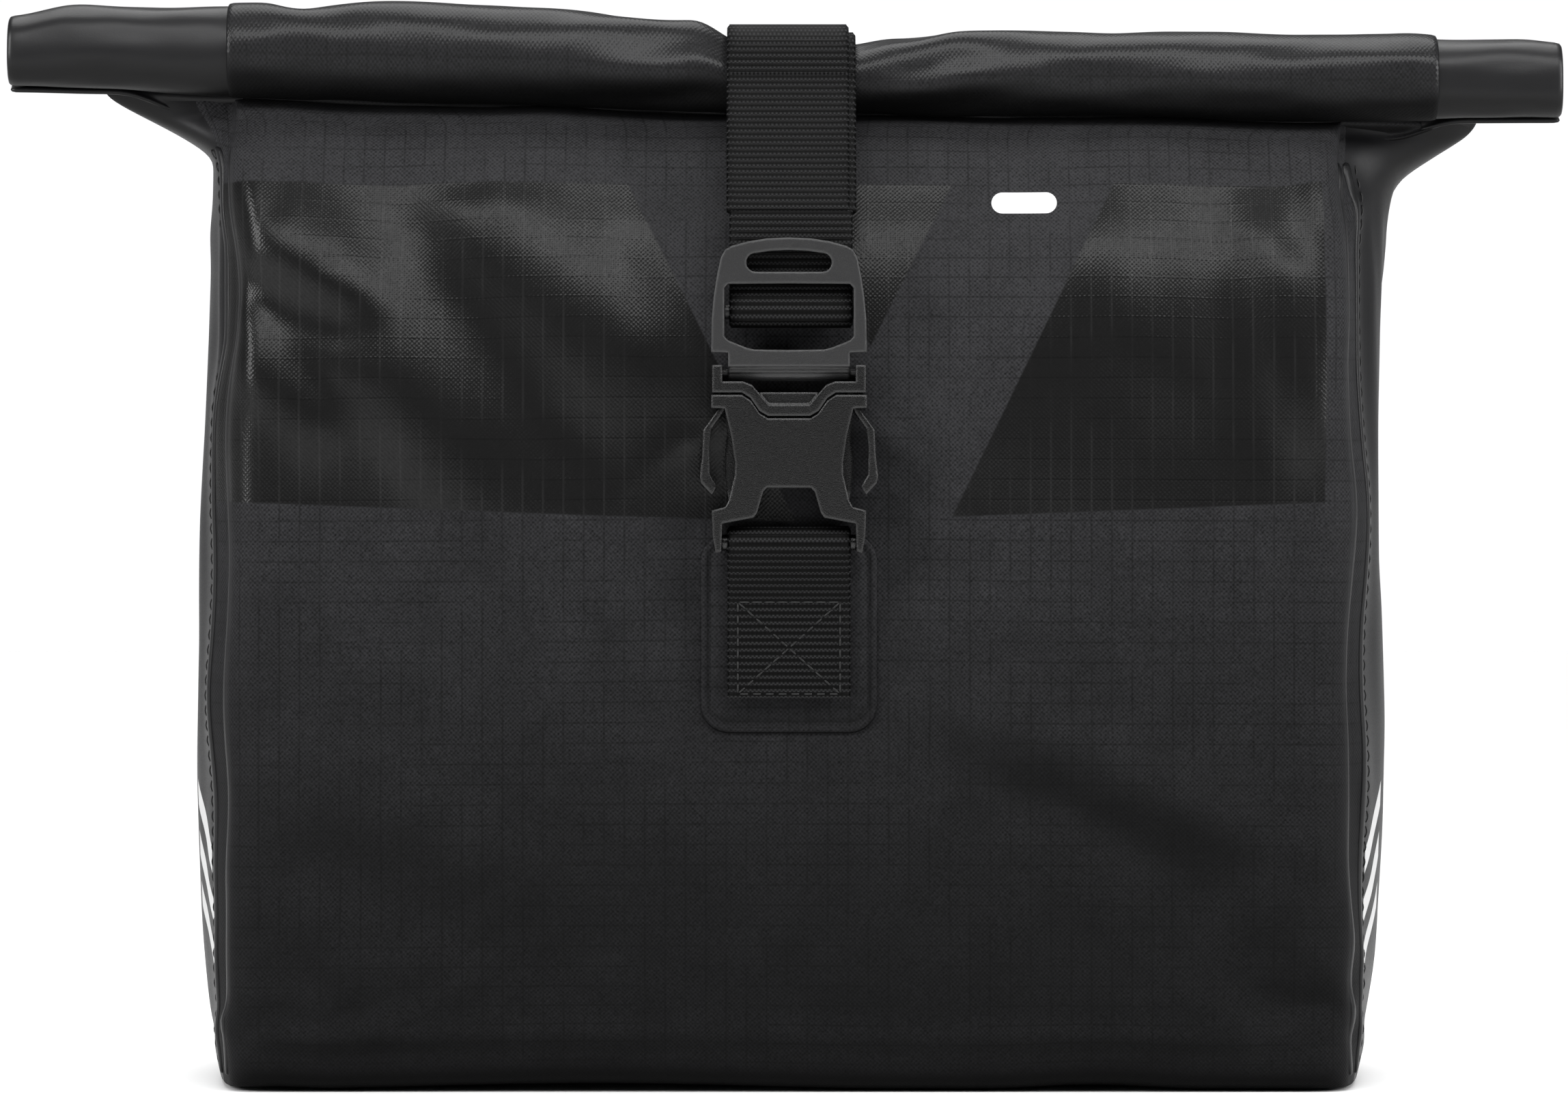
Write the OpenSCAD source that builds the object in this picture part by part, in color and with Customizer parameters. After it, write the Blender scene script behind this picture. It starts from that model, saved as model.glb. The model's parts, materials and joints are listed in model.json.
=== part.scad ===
// Small roll-top pannier bag: welded fabric body, rolled closure held by one strap with a
// side-release buckle, and a rack mounting of two latching hooks and a swivelling lower anchor.
// Origin: centre of the base, on the surface the bag stands on. +Z up, front faces -Y.

/* [Bag] */
// Width of the front panel between its side folds
body_w = 228; // [216:1:280]
// Depth of the bag from front panel to back panel
body_d = 112; // [104:1:150]
// Height at which the front panel starts to curve back
lean_z = 138; // [120:1:140]
// Thickness of the welded fabric wall
wall = 1.2; // [0.8:0.1:1.6]
// How far the side gussets bulge outwards
side_bulge = 8; // [0:0.5:9]

/* [Roll closure] */
// Width of the main fabric inside the roll
roll_main_w = 248; // [240:1:250]
// Sideways shift of the main fabric inside the roll
roll_shift = 9; // [0:1:9]
// Overall width of the roll, gusset wings included
roll_w = 316; // [310:1:330]
// Half the depth of the roll
roll_a = 8.0; // [7.6:0.1:8.4]
// Half the height of the roll
roll_b = 8.8; // [8.4:0.1:9.2]

/* [Strap and buckle] */
// Width of the webbing
web_w = 25; // [20:1:25]
// Thickness of the webbing
web_t = 1.5; // [1.2:0.1:1.5]
// Overall thickness of the buckle
buckle_t = 8.2; // [8.2:0.1:9]

/* [Rack mounting] */
// Distance from the bag's middle to each upper hook
hook_x = 62; // [54:1:70]
// Bore radius of the tube insert in each upper hook
insert_r = 6.1; // [5.1:0.1:6.4]
// Height of the upper rail's middle line
upper_rail_z = 170; // [168:1:171]
// Height of the lower rail's middle line
lower_rail_z = 52; // [44:1:70]
// Bore radius of the lower anchor's finger
anchor_r = 6.2; // [5:0.1:6.5]

/* [Hidden] */
$fn = 48;

front_y = -body_d / 2;
back_y = body_d / 2;
side_x = body_w / 2;
corner_r = 6;
neck_y = front_y + 26;
neck_z = 195.5;
curve_steps = 16;

FABRIC = [0.13, 0.13, 0.14];
COATED = [0.17, 0.17, 0.18];
WEBBING = [0.08, 0.08, 0.09];
PLASTIC = [0.16, 0.16, 0.17];
STEEL = [0.62, 0.63, 0.65];

// ---- Paths in the side view: each point is [y, z]. A path is followed with the bag on its left. ----

function bezier(p, n) = [for (i = [0:n]) let (t = i / n, u = 1 - t)
    u * u * u * p[0] + 3 * u * u * t * p[1] + 3 * u * t * t * p[2] + t * t * t * p[3]];
function arc(c, r, from, to, n) = [for (i = [0:n]) let (a = from + (to - from) * i / n)
    c + r * [cos(a), sin(a)]];
function line(p, q, n) = [for (i = [1:n - 1]) p + (q - p) * i / n];
function reversed(path) = [for (i = [len(path) - 1:-1:0]) path[i]];
function unit(v) = v / norm(v);
function tangent(path, i) = unit(path[min(i + 1, len(path) - 1)] - path[max(i - 1, 0)]);
function beside(path, d) = [for (i = [0:len(path) - 1]) let (t = tangent(path, i))
    path[i] + d * [-t[1], t[0]]];
function mirrored(half) = concat(half, [for (p = reversed(half)) if (p[0] > 0) [-p[0], p[1]]]);
function turning(p, i = 0) = i == len(p) ? 0 :
    let (q = p[(i + 1) % len(p)]) p[i][0] * q[1] - q[0] * p[i][1] + turning(p, i + 1);
function anticlockwise(p) = turning(p) < 0 ? reversed(p) : p;

// Front and back of the bag, each from the base up to the neck
back_flat_z = upper_rail_z + 11;
front_path = concat(
    arc([front_y + corner_r, corner_r], corner_r, 270, 180, 4),
    line([front_y, corner_r], [front_y, lean_z], 6),
    bezier([[front_y, lean_z], [front_y, 176], [front_y + 9, neck_z - 2], [neck_y - 0.1, neck_z]],
        curve_steps));
back_path = concat(
    arc([back_y - corner_r, corner_r], corner_r, 270, 360, 4),
    line([back_y, corner_r], [back_y, back_flat_z], 6),
    bezier([[back_y, back_flat_z], [back_y, 191], [20, neck_z - 2], [neck_y + 0.1, neck_z]], curve_steps));
outline = concat(reversed(front_path), back_path);

// ---- Shape helpers ----

// A closed loop of points, in either order
module loop(p) polygon(anticlockwise(p));
// 2D [y, z] shapes become solids along X, centred on X = 0
module along_x(w) rotate([90, 0, 90]) translate([0, 0, -w / 2]) linear_extrude(w) children();
// 2D [x, z] shapes become solids along Y, from y0 to y1
module along_y(y0, y1) translate([0, y1, 0]) rotate([90, 0, 0]) linear_extrude(y1 - y0) children();
// A strip that runs beside a path, between the distances d0 and d1 to its left
module ribbon(path, d0, d1, w) along_x(w) loop(concat(beside(path, d0), reversed(beside(path, d1))));
// A rod along X
module rod(y, z, r, w) translate([-w / 2, y, z]) rotate([0, 90, 0]) cylinder(r = r, h = w);
// A block given by its low and high corners
module block(lo, hi) translate(lo) cube(hi - lo);
module both_sides() for (side = [0, 1]) mirror([side, 0, 0]) children();

// ---- Fabric body ----

module main_panel() {
    color(FABRIC) difference() {
        along_x(body_w) difference() {
            loop(outline);
            loop(beside(outline, wall));
        }
        screw_holes(hole_r, back_y - 8, back_y + 1);
    }
}

// A thin sheet between the front and back paths, bulging outwards in the middle
module gusset_sheet() {
    across = 8;
    rows = len(front_path);
    last = rows - 1;
    bulge_rows = rows - curve_steps / 2;
    function bulge(i, j) = side_bulge * sin(180 * min(1, i / bulge_rows)) * sin(180 * j / across);
    function sheet_point(i, j, layer) =
        let (p = front_path[i] + (back_path[i] - front_path[i]) * j / across)
        [side_x + layer * wall + bulge(i, j), p[0], p[1]];
    points = [for (layer = [0, 1]) for (i = [0:last]) for (j = [0:across]) sheet_point(i, j, layer)];
    function at(layer, i, j) = layer * rows * (across + 1) + i * (across + 1) + j;
    faces = concat(
        [for (i = [0:last - 1]) for (j = [0:across - 1]) each [
            [at(1, i, j), at(1, i + 1, j), at(1, i + 1, j + 1)],
            [at(1, i, j), at(1, i + 1, j + 1), at(1, i, j + 1)],
            [at(0, i, j), at(0, i + 1, j + 1), at(0, i + 1, j)],
            [at(0, i, j), at(0, i, j + 1), at(0, i + 1, j + 1)]]],
        [for (i = [0:last - 1]) each [
            [at(0, i, 0), at(0, i + 1, 0), at(1, i + 1, 0), at(1, i, 0)],
            [at(1, i, across), at(1, i + 1, across), at(0, i + 1, across), at(0, i, across)]]],
        [for (j = [0:across - 1]) each [
            [at(0, 0, j + 1), at(0, 0, j), at(1, 0, j), at(1, 0, j + 1)],
            [at(0, last, j), at(0, last, j + 1), at(1, last, j + 1), at(1, last, j)]]]);
    polyhedron(points, faces, convexity = 4);
}

// The gusset's upper part, folded outwards under the roll
module gusset_fold() {
    fold_r = 1.5;
    inner_x = side_x + side_bulge;
    top_z = neck_z - 1.8;
    corners = [[inner_x, neck_y - 12, neck_z - 18], [inner_x, neck_y + 42, neck_z - 12],
        [inner_x, neck_y + 4, top_z], [side_x + 24, neck_y - 1, top_z]];
    hull() for (p = corners) translate(p) sphere(fold_r, $fn = 16);
}

module side_gusset_left() color(COATED) mirror([1, 0, 0]) gusset_sheet();
module side_gusset_right() color(COATED) gusset_sheet();
module gusset_fold_left() color(COATED) mirror([1, 0, 0]) gusset_fold();
module gusset_fold_right() color(COATED) gusset_fold();

// ---- Roll closure: the neck of the bag wound twice round a stiff batten ----

roll_start = -50;
roll_y = neck_y - roll_a * cos(roll_start);
roll_z = neck_z + 0.9 + roll_b;
sheet_t = 1.4;
turn_pitch = 1.7;
function spiral(a0, b0, turns) = [for (a = [roll_start:15:roll_start + 360 * turns])
    let (inward = turn_pitch * (a - roll_start) / 360)
    [roll_y + (a0 - inward) * cos(a), roll_z + (b0 - inward) * sin(a)]];
module wound_sheet(a0, b0, turns, x0, x1)
    translate([(x0 + x1) / 2, 0, 0]) ribbon(spiral(a0, b0, turns), 0, sheet_t, x1 - x0);

roll_left_seam = roll_shift - roll_main_w / 2;
roll_right_seam = roll_shift + roll_main_w / 2;
wing_a = roll_a - 0.8;
wing_b = roll_b - 0.8;
main_turns = 2;
wing_turns = 1.6;
module roll_fabric() color(FABRIC)
    wound_sheet(roll_a, roll_b, main_turns, roll_left_seam, roll_right_seam);
module roll_wing_left() color(COATED)
    wound_sheet(wing_a, wing_b, wing_turns, -roll_w / 2, roll_left_seam);
module roll_wing_right() color(COATED)
    wound_sheet(wing_a, wing_b, wing_turns, roll_right_seam, roll_w / 2);
batten_x = roll_w / 2 - 6;
batten_half_t = 0.9;
batten_half_h = 3;
module roll_batten() color([0.3, 0.3, 0.31])
    block([-batten_x, roll_y - batten_half_t, roll_z - batten_half_h],
        [batten_x, roll_y + batten_half_t, roll_z + batten_half_h]);

// ---- Stiffener inside the back, and the welded patches ----

stiffener_t = 2;
stiffener_x = side_x - 7;
stiffener_y = back_y - wall - 0.1;
module back_stiffener() color([0.25, 0.25, 0.26]) difference() {
    block([-stiffener_x, stiffener_y - stiffener_t, 9], [stiffener_x, stiffener_y, back_flat_z - 3]);
    screw_holes(hole_r, back_y - 8, back_y + 1);
}

patch_w = 35.6;
patch_t = 0.8;
patch_r = 6;
patch_low = 72.7;
patch_high = 113;
function rounded(w, lo, hi, r) = concat(
    arc([w / 2 - r, lo + r], r, 270, 360, 6), arc([w / 2 - r, hi - r], r, 0, 90, 6),
    arc([r - w / 2, hi - r], r, 90, 180, 6), arc([r - w / 2, lo + r], r, 180, 270, 6));
module front_patch() color(FABRIC)
    along_y(front_y - patch_t, front_y) loop(rounded(patch_w, patch_low, patch_high, patch_r));

rear_patch_path = [for (p = back_path) if (p[1] > back_flat_z && p[0] < 44 && p[0] > 4) p];
rear_patch_gap = 0.05;
module rear_patch() color(FABRIC)
    ribbon(rear_patch_path, -patch_t - rear_patch_gap, -rear_patch_gap, patch_w);

// ---- Webbing ----

buckle_y = front_y - 1.8 - buckle_t / 2;
buckle_back = buckle_y + buckle_t / 2;
buckle_front = buckle_y - buckle_t / 2;

// Short webbing sewn to the front patch and looped round the female buckle's bar
female_bar_z = 111.2;
female_bar_r = 1.6;
loop_r = female_bar_r + 0.1 + web_t / 2;
sewn_y = front_y - patch_t - 0.1 - web_t / 2;
outer_sewn_y = sewn_y - web_t - 0.1;
anchor_low = 79.8;
anchor_path = concat(
    [[sewn_y, anchor_low], [sewn_y, 90], [sewn_y, 101], [sewn_y - 0.4, 105]],
    arc([buckle_y, female_bar_z], loop_r, 12, 206, 10),
    [[outer_sewn_y - 2.3, 105], [outer_sewn_y, 99], [outer_sewn_y, 90], [outer_sewn_y, anchor_low]]);
module anchor_webbing() color(WEBBING) ribbon(anchor_path, -web_t / 2, web_t / 2, web_w);

// Closure strap: over the roll from the rear patch, round the adjuster's bar and back as a tail.
// Its stretch in front of the bag is a node of its own, because it bends as the buckle moves.
adjuster_bar = [buckle_y + 0.4, 157.6];
adjuster_bar_r = 1.5;
wrap_r = adjuster_bar_r + 0.15 + web_t / 2;
near_layer_y = buckle_y + 1.8;
far_layer_y = near_layer_y - web_t - 0.15;
over_roll = web_t / 2 + 0.2;
function roll_side(a, d) = [roll_y + (roll_a + d) * cos(a), roll_z + (roll_b + d) * sin(a)];
function over(from, to, d) = [for (i = [0:12]) roll_side(from + (to - from) * i / 12, d)];
on_roof = reversed(beside(rear_patch_path, -patch_t - 0.15 - web_t / 2));
load_path = concat(over(162, 32, over_roll), on_roof);
tail_end_y = 8;
tail_path = [for (p = load_path) if (p[0] < tail_end_y) p];
layer_step = web_t + 0.15;
module closure_strap() color(WEBBING) ribbon(load_path, -web_t / 2, web_t / 2, web_w);
module strap_tail() color(WEBBING)
    ribbon(tail_path, layer_step - web_t / 2, layer_step + web_t / 2, web_w);

front_run_path = concat(
    [roll_side(167, over_roll), [near_layer_y, 172], [near_layer_y, 164]],
    arc(adjuster_bar, wrap_r, 9, -202, 12),
    [[far_layer_y, 163.3], [far_layer_y, 172], roll_side(167, over_roll + layer_step)]);
module strap_front_run() color(WEBBING) ribbon(front_run_path, -web_t / 2, web_t / 2, web_w);

// ---- Side-release buckle ----

plate_t = 1.5;
fit_gap = 0.5;
// Lower edge of the male collar, from the middle outwards; fit_gap below it is the female mouth
parting = [[0, 136.6], [4.2, 136.6], [5.9, 137.6], [7.7, 140.2], [9.4, 141.3], [15.4, 141.3]];
ring_low = 138.2;
body_x = 15.6;
shoulder = [[body_x, ring_low], [12.9, ring_low - 0.1]];
hip = [[12.1, 119.6], [12.8, 118.3], [15.5, 117.6]];
waist = concat(shoulder, [[11.6, 132.7], [10.8, 127.2], [10.9, 124.6]], hip);
back_waist = concat(shoulder, [[12.4, 132.7], [12.9, 128.6], [12.9, 124.6]], hip);
leg = [[15.3, 112.6], [14.7, 109.1], [13.6, 109.4], [13.4, 115]];
foot = concat(leg, [[7.1, 116.2], [6.4, 117.2], [5.2, 121.4], [4.4, 122.2], [0, 122.2]]);
mouth = [for (p = parting) [p[0] > 15 ? body_x : p[0], p[1] - fit_gap]];

inner_w = 27.6;
module buckle_female() {
    color(PLASTIC) difference() {
        union() {
            along_y(buckle_front, buckle_front + plate_t) loop(mirrored(concat(mouth, waist, foot)));
            along_y(buckle_back - plate_t, buckle_back) loop(mirrored(concat(mouth, back_waist, foot)));
            both_sides() along_y(buckle_front, buckle_back) {
                loop([[body_x - 1, ring_low], [body_x, ring_low], [body_x, 140.8], [body_x - 1, 140.8]]);
                loop(concat([[12.9, 118.3], [15.5, 117.6]], leg, [[12.3, 115.2]]));
                loop([[7.1, 116.2], [12.4, 115.2], [12.4, 117], [6.6, 118]]);
            }
            rod(buckle_y, female_bar_z, female_bar_r, inner_w);
        }
    }
}

plug_t = buckle_t - 2 * plate_t - 0.4;
prong_pivot = [12.6, 139.9];
prong_root_r = 1.1;
adjuster_axis_z = 145.3;
adjuster_pin_r = 0.9;
adjuster_pin_w = 29;
post_top = 146.8;
pin_gap = 0.06;
collar_top = [[15.4, post_top], [13.4, post_top], [13.4, 143.5], [9.2, 143.5], [7.4, 142.8],
    [6.2, 141.4], [4.1, 138.9], [0, 138.9]];
plug = [[0, 124], [2.6, 124], [3.4, 125.2], [3.8, 134], [10.6, 135.6], [10.6, 138.9],
    [14.3, 138.9], [14.3, 141.4], [0, 141.4]];
module buckle_male() {
    color(PLASTIC) difference() {
        union() {
            along_y(buckle_front, buckle_back) loop(mirrored(concat(parting, collar_top)));
            along_y(buckle_y - plug_t / 2, buckle_y + plug_t / 2) loop(mirrored(plug));
        }
        both_sides() translate([prong_pivot[0], 0, prong_pivot[1]]) {
            along_y(buckle_y - plug_t / 2 - 0.1, buckle_y + plug_t / 2 + 0.1) circle(prong_root_r + pin_gap);
            along_y(buckle_y - plug_t / 2 - 0.1, buckle_y + plug_t / 2 + 0.1)
                loop([[0, 0], [-1.5, -1.5], [1.5, -1.5]]);
        }
        rod(buckle_y, adjuster_axis_z, adjuster_pin_r + pin_gap, adjuster_pin_w + 0.4);
    }
}

prong_t = plug_t - 0.4;
prong_arm = [[13.1, 139.6], [13.3, 138.7], [14.1, 138.1], [17.2, 133.8], [17.4, 129], [17.9, 124.4],
    [17.6, 123.1], [15.4, 120.7], [14.5, 122.4], [15.9, 124.8], [16, 130], [15.6, 134], [12.9, 137.6],
    [12.2, 138.6], [12.2, 139.6]];
module prong() {
    along_y(buckle_y - prong_t / 2 - 0.1, buckle_y + prong_t / 2 + 0.1)
        translate(prong_pivot) circle(prong_root_r);
    along_y(buckle_y - prong_t / 2, buckle_y + prong_t / 2) loop(prong_arm);
}
module buckle_prong_left() color(PLASTIC) mirror([1, 0, 0]) prong();
module buckle_prong_right() color(PLASTIC) prong();

// Ladder frame that grips the strap; two stub pins hinge it to the male collar
frame_t = 3.4;
hinge_half_w = 12.2;
hinge_r = 1.6;
frame_low = 149.4;
window_half_w = 13;
bar_lug_h = 2.2;
frame_half = [[0, 172.4], [4.4, 172.2], [8.2, 171.6], [11.6, 170.7], [12.8, 170], [13.7, 168.3],
    [14.5, 164.5], [15.1, 160.5], [15.5, 156], [body_x, frame_low], [hinge_half_w, frame_low - 0.1],
    [hinge_half_w, 146.5], [0, 146.5]];
slot_half = concat([[0, 169.9], [4, 169.7], [6.6, 169.3]], arc([6.7, 167.4], 1.9, 80, -90, 8), [[0, 165.5]]);
window_half = [[0, 163.2], [12.2, 163.1], [window_half_w, 162.3], [window_half_w, 152.6], [12.3, 151.8],
    [8.6, 150.3], [7, 149.9], [0, 149.8]];
module strap_adjuster() {
    color(PLASTIC) {
        difference() {
            along_y(buckle_front, buckle_front + frame_t) loop(mirrored(frame_half));
            along_y(buckle_front - 1, buckle_front + frame_t + 1) {
                loop(mirrored(slot_half));
                loop(mirrored(window_half));
            }
        }
        both_sides() block(
            [window_half_w, buckle_front + 1, adjuster_bar[1] - bar_lug_h],
            [window_half_w + 2, adjuster_bar[0] + adjuster_bar_r, adjuster_bar[1] + bar_lug_h]);
        rod(adjuster_bar[0], adjuster_bar[1], adjuster_bar_r, 2 * window_half_w + 1);
        block([-hinge_half_w, buckle_front + 2, adjuster_axis_z], [hinge_half_w, buckle_y + 1.2, frame_low]);
        rod(buckle_y, adjuster_axis_z, hinge_r, 2 * hinge_half_w);
        rod(buckle_y, adjuster_axis_z, adjuster_pin_r, adjuster_pin_w);
    }
}

// ---- Rack mounting: rails ----

rail_base_t = 2;
rail_stem_t = 2.5;
rail_head_t = 2.5;
rail_face_y = back_y + rail_base_t + rail_stem_t + rail_head_t;
upper_rail_w = 194;
lower_rail_w = 120;
slide_gap = 0.3;
// T section on a base plate; h is the height of the base plate
function rail_section(z, h) = [[back_y, z - h / 2], [back_y + rail_base_t, z - h / 2],
    [back_y + rail_base_t, z - h / 2 + 5], [rail_face_y - rail_head_t, z - h / 2 + 5],
    [rail_face_y - rail_head_t, z - h / 2 + 2], [rail_face_y, z - h / 2 + 2],
    [rail_face_y, z + h / 2 - 2], [rail_face_y - rail_head_t, z + h / 2 - 2],
    [rail_face_y - rail_head_t, z + h / 2 - 5], [back_y + rail_base_t, z + h / 2 - 5],
    [back_y + rail_base_t, z + h / 2], [back_y, z + h / 2]];
upper_screw_x = [-90, -24, 24, 90];
lower_screw_x = [-50, 50];
screw_places = concat(
    [for (x = upper_screw_x) [x, upper_rail_z]],
    [for (x = lower_screw_x) [x, lower_rail_z]]);
module at_screws(y) for (p = screw_places) translate([p[0], y, p[1]]) rotate([-90, 0, 0]) children();
module screw_holes(r, y0, y1) at_screws(y0) cylinder(r = r, h = y1 - y0);

screw_r = 2;
hole_r = screw_r + 0.1;
head_r = 3.6;
head_h = 1.7;
module rail(z, h, w) difference() {
    along_x(w) loop(rail_section(z, h));
    screw_holes(hole_r, back_y - 1, rail_face_y + 1);
    at_screws(rail_face_y - head_h) cylinder(r1 = hole_r, r2 = head_r + 0.15, h = head_h + 0.01);
}
upper_rail_h = 18;
lower_rail_h = 16;
module upper_rail() color([0.2, 0.2, 0.21]) rail(upper_rail_z, upper_rail_h, upper_rail_w);
module lower_rail() color([0.2, 0.2, 0.21]) rail(lower_rail_z, lower_rail_h, lower_rail_w);
cap_t = 2.5;
cap_lip = 0.4;
module rail_caps(z, h, w) both_sides()
    block([w / 2, back_y, z - h / 2 - cap_lip], [w / 2 + cap_t, rail_face_y + cap_lip, z + h / 2 + cap_lip]);
module upper_rail_caps() color(PLASTIC) rail_caps(upper_rail_z, upper_rail_h, upper_rail_w);
module lower_rail_caps() color(PLASTIC) rail_caps(lower_rail_z, lower_rail_h, lower_rail_w);

nut_y = stiffener_y - stiffener_t;
module rail_screws() color(STEEL) at_screws(nut_y - 4.6) difference() {
    top = rail_face_y - nut_y + 4.6 - 0.05;
    union() {
        cylinder(r = screw_r, h = top - 0.1);
        translate([0, 0, top - head_h]) cylinder(r1 = screw_r, r2 = head_r, h = head_h);
    }
    translate([0, 0, top - 1.2]) cylinder(r = 1.4, h = 2, $fn = 6);
}
module rail_nuts() color(STEEL) at_screws(nut_y - 4) difference() {
    union() {
        cylinder(r = 4, h = 3, $fn = 6);
        translate([0, 0, 3]) cylinder(r = 6, h = 1);
    }
    translate([0, 0, -1]) cylinder(r = screw_r + 0.05, h = 6);
}

// ---- Rack mounting: upper hooks, each with a sprung latch under the tube ----

hook_w = 20;
throat_r = 8.2;
tube_y = back_y + 22;
tube_z = upper_rail_z - 18;
hook_outer_r = 12;
latch_axis = [back_y + 16, upper_rail_z];
pin_r = 1.5;
latch_slot = 3.2;
// C-shaped jaws that run on a rail, from the rail section's height h, as a [y, z] shape
jaw_t = 8;
module jaws(z, h) difference() {
    translate([back_y + rail_base_t + slide_gap, z - h / 2 - 1.5]) square([jaw_t, h + 3]);
    translate([rail_face_y - rail_head_t - slide_gap, z - h / 2 + 2 - slide_gap])
        square([rail_head_t + 2 * slide_gap, h - 4 + 2 * slide_gap]);
    translate([back_y, z - h / 2 + 5 - slide_gap]) square([6, h - 10 + 2 * slide_gap]);
}
head_half_w = 11.7;
collar_r = 4;
function beside_tube(y, z) = [tube_y + y, tube_z + z];
function beside_latch(y, z) = [latch_axis[0] + y, latch_axis[1] + z];
module hook_section() {
    jaws(upper_rail_z, upper_rail_h);
    difference() {
        union() {
            translate([tube_y, tube_z]) circle(hook_outer_r);
            translate([tube_y - hook_outer_r, tube_z - 6]) square([hook_outer_r, 6]);
            translate([tube_y, tube_z - 11]) square([hook_outer_r, 11]);
            loop([beside_tube(-14.6, 8), beside_tube(-head_half_w, 17), beside_tube(0, 11),
                beside_tube(-hook_outer_r, 0)]);
            translate(latch_axis) circle(collar_r);
            loop([[tube_y - head_half_w, upper_rail_z - collar_r],
                [tube_y - head_half_w, upper_rail_z + collar_r],
                beside_latch(0, collar_r), beside_latch(3, -7)]);
        }
        translate([tube_y, tube_z]) circle(throat_r);
        translate([tube_y - throat_r, tube_z - 13]) square([2 * throat_r, 13]);
        translate([tube_y - hook_outer_r - 1, tube_z - hook_outer_r - 1]) square([hook_outer_r + 1, 7]);
        translate([tube_y + throat_r - 1, tube_z - 12]) rotate(-45) square([3.2, 3.2], center = true);
        translate([back_y, upper_rail_z - 7.3]) square([rail_face_y - back_y + slide_gap, 14.6]);
    }
}
module top_hook(x) color(PLASTIC) translate([x, 0, 0]) difference() {
    along_x(hook_w) hook_section();
    block([-latch_slot, back_y + 4.4, tube_z - 12], [latch_slot, tube_y - throat_r + 0.2, tube_z + 10.8]);
    block([-latch_slot, back_y + 8, tube_z + 10], [latch_slot, back_y + 20, tube_z + 16]);
    block([-latch_slot, back_y + 10.3, tube_z + 11], [latch_slot, back_y + 28, tube_z + 24]);
    rod(latch_axis[0], latch_axis[1], pin_r + 0.02, hook_w + 2);
}
module top_hook_left() top_hook(-hook_x);
module top_hook_right() top_hook(hook_x);

// Sleeve that lines the throat for a thinner rack tube
module hook_insert(x) color([0.3, 0.3, 0.31]) translate([x, 0, 0]) along_x(hook_w) difference() {
    union() {
        translate([tube_y, tube_z]) circle(throat_r - 0.1);
        translate([tube_y - throat_r + 0.1, tube_z - 6]) square([2 * throat_r - 0.2, 6]);
    }
    translate([tube_y, tube_z]) circle(insert_r);
    translate([tube_y - insert_r, tube_z - 10]) square([2 * insert_r, 10]);
    translate([tube_y - throat_r, tube_z - 16]) square([2 * throat_r, 10]);
}
module hook_insert_left() hook_insert(-hook_x);
module hook_insert_right() hook_insert(hook_x);

latch_w = 3.6;
latch_offset = -1.2;
module latch_section() difference() {
    union() {
        translate(latch_axis) circle(3);
        loop([beside_tube(-11.4, 12), beside_tube(-11.6, -11.4), beside_tube(-2.6, -11.4),
            beside_tube(-2, -10.4), beside_tube(-4, -8.6), beside_tube(-9, -7.6), beside_tube(-9, 11),
            beside_latch(2, -2), beside_latch(0.5, 13.6), beside_latch(7, 15), beside_latch(6.6, 17),
            beside_latch(-2.6, 16.4), beside_latch(-3, -1)]);
    }
    translate(latch_axis) circle(pin_r + pin_gap);
}
module hook_latch(x) color(PLASTIC)
    translate([x + latch_offset, 0, 0]) along_x(latch_w) latch_section();
module hook_latch_left() hook_latch(-hook_x);
module hook_latch_right() hook_latch(hook_x);

module latch_pin(x) color(STEEL) translate([x, 0, 0]) rod(latch_axis[0], latch_axis[1], pin_r, hook_w - 2);
module latch_pin_left() latch_pin(-hook_x);
module latch_pin_right() latch_pin(hook_x);

// Torsion spring round the pin beside the latch
spring_r = 2.35;
wire_r = 0.3;
spring_turns = 2.5;
spring_x = 1.2;
wire_sides = 6;
spring_leg = 4;
coil_steps = 30;
// Each entry is a turn angle and how far the wire has run straight down from it
coil = concat([[0, spring_leg]], [for (i = [0:coil_steps]) [360 * spring_turns * i / coil_steps, 0]],
    [[360 * spring_turns, spring_leg]]);
wire_pitch = 2.2 * wire_r;
function on_coil(c) = [spring_x + wire_pitch * c[0] / 360, latch_axis[0] + spring_r * cos(c[0]),
    latch_axis[1] + spring_r * sin(c[0]) - c[1]];
module latch_spring(x) {
    n = len(coil);
    function ring(i) = let (out = [0, cos(coil[i][0]), sin(coil[i][0])])
        [for (s = [0:wire_sides - 1]) let (a = 360 * s / wire_sides)
            on_coil(coil[i]) + wire_r * (cos(a) * out + sin(a) * [1, 0, 0])];
    points = [for (i = [0:n - 1]) each ring(i)];
    faces = concat(
        [[for (s = [0:wire_sides - 1]) s]],
        [for (i = [0:n - 2]) for (s = [0:wire_sides - 1]) let (t = (s + 1) % wire_sides)
            [i * wire_sides + t, i * wire_sides + s, (i + 1) * wire_sides + s, (i + 1) * wire_sides + t]],
        [[for (s = [wire_sides - 1:-1:0]) (n - 1) * wire_sides + s]]);
    color(STEEL) translate([x, 0, 0]) polyhedron(points, faces, convexity = 6);
}
module latch_spring_left() latch_spring(-hook_x);
module latch_spring_right() latch_spring(hook_x);

// ---- Rack mounting: lower anchor, which slides along its rail and swivels on a bolt ----

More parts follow.
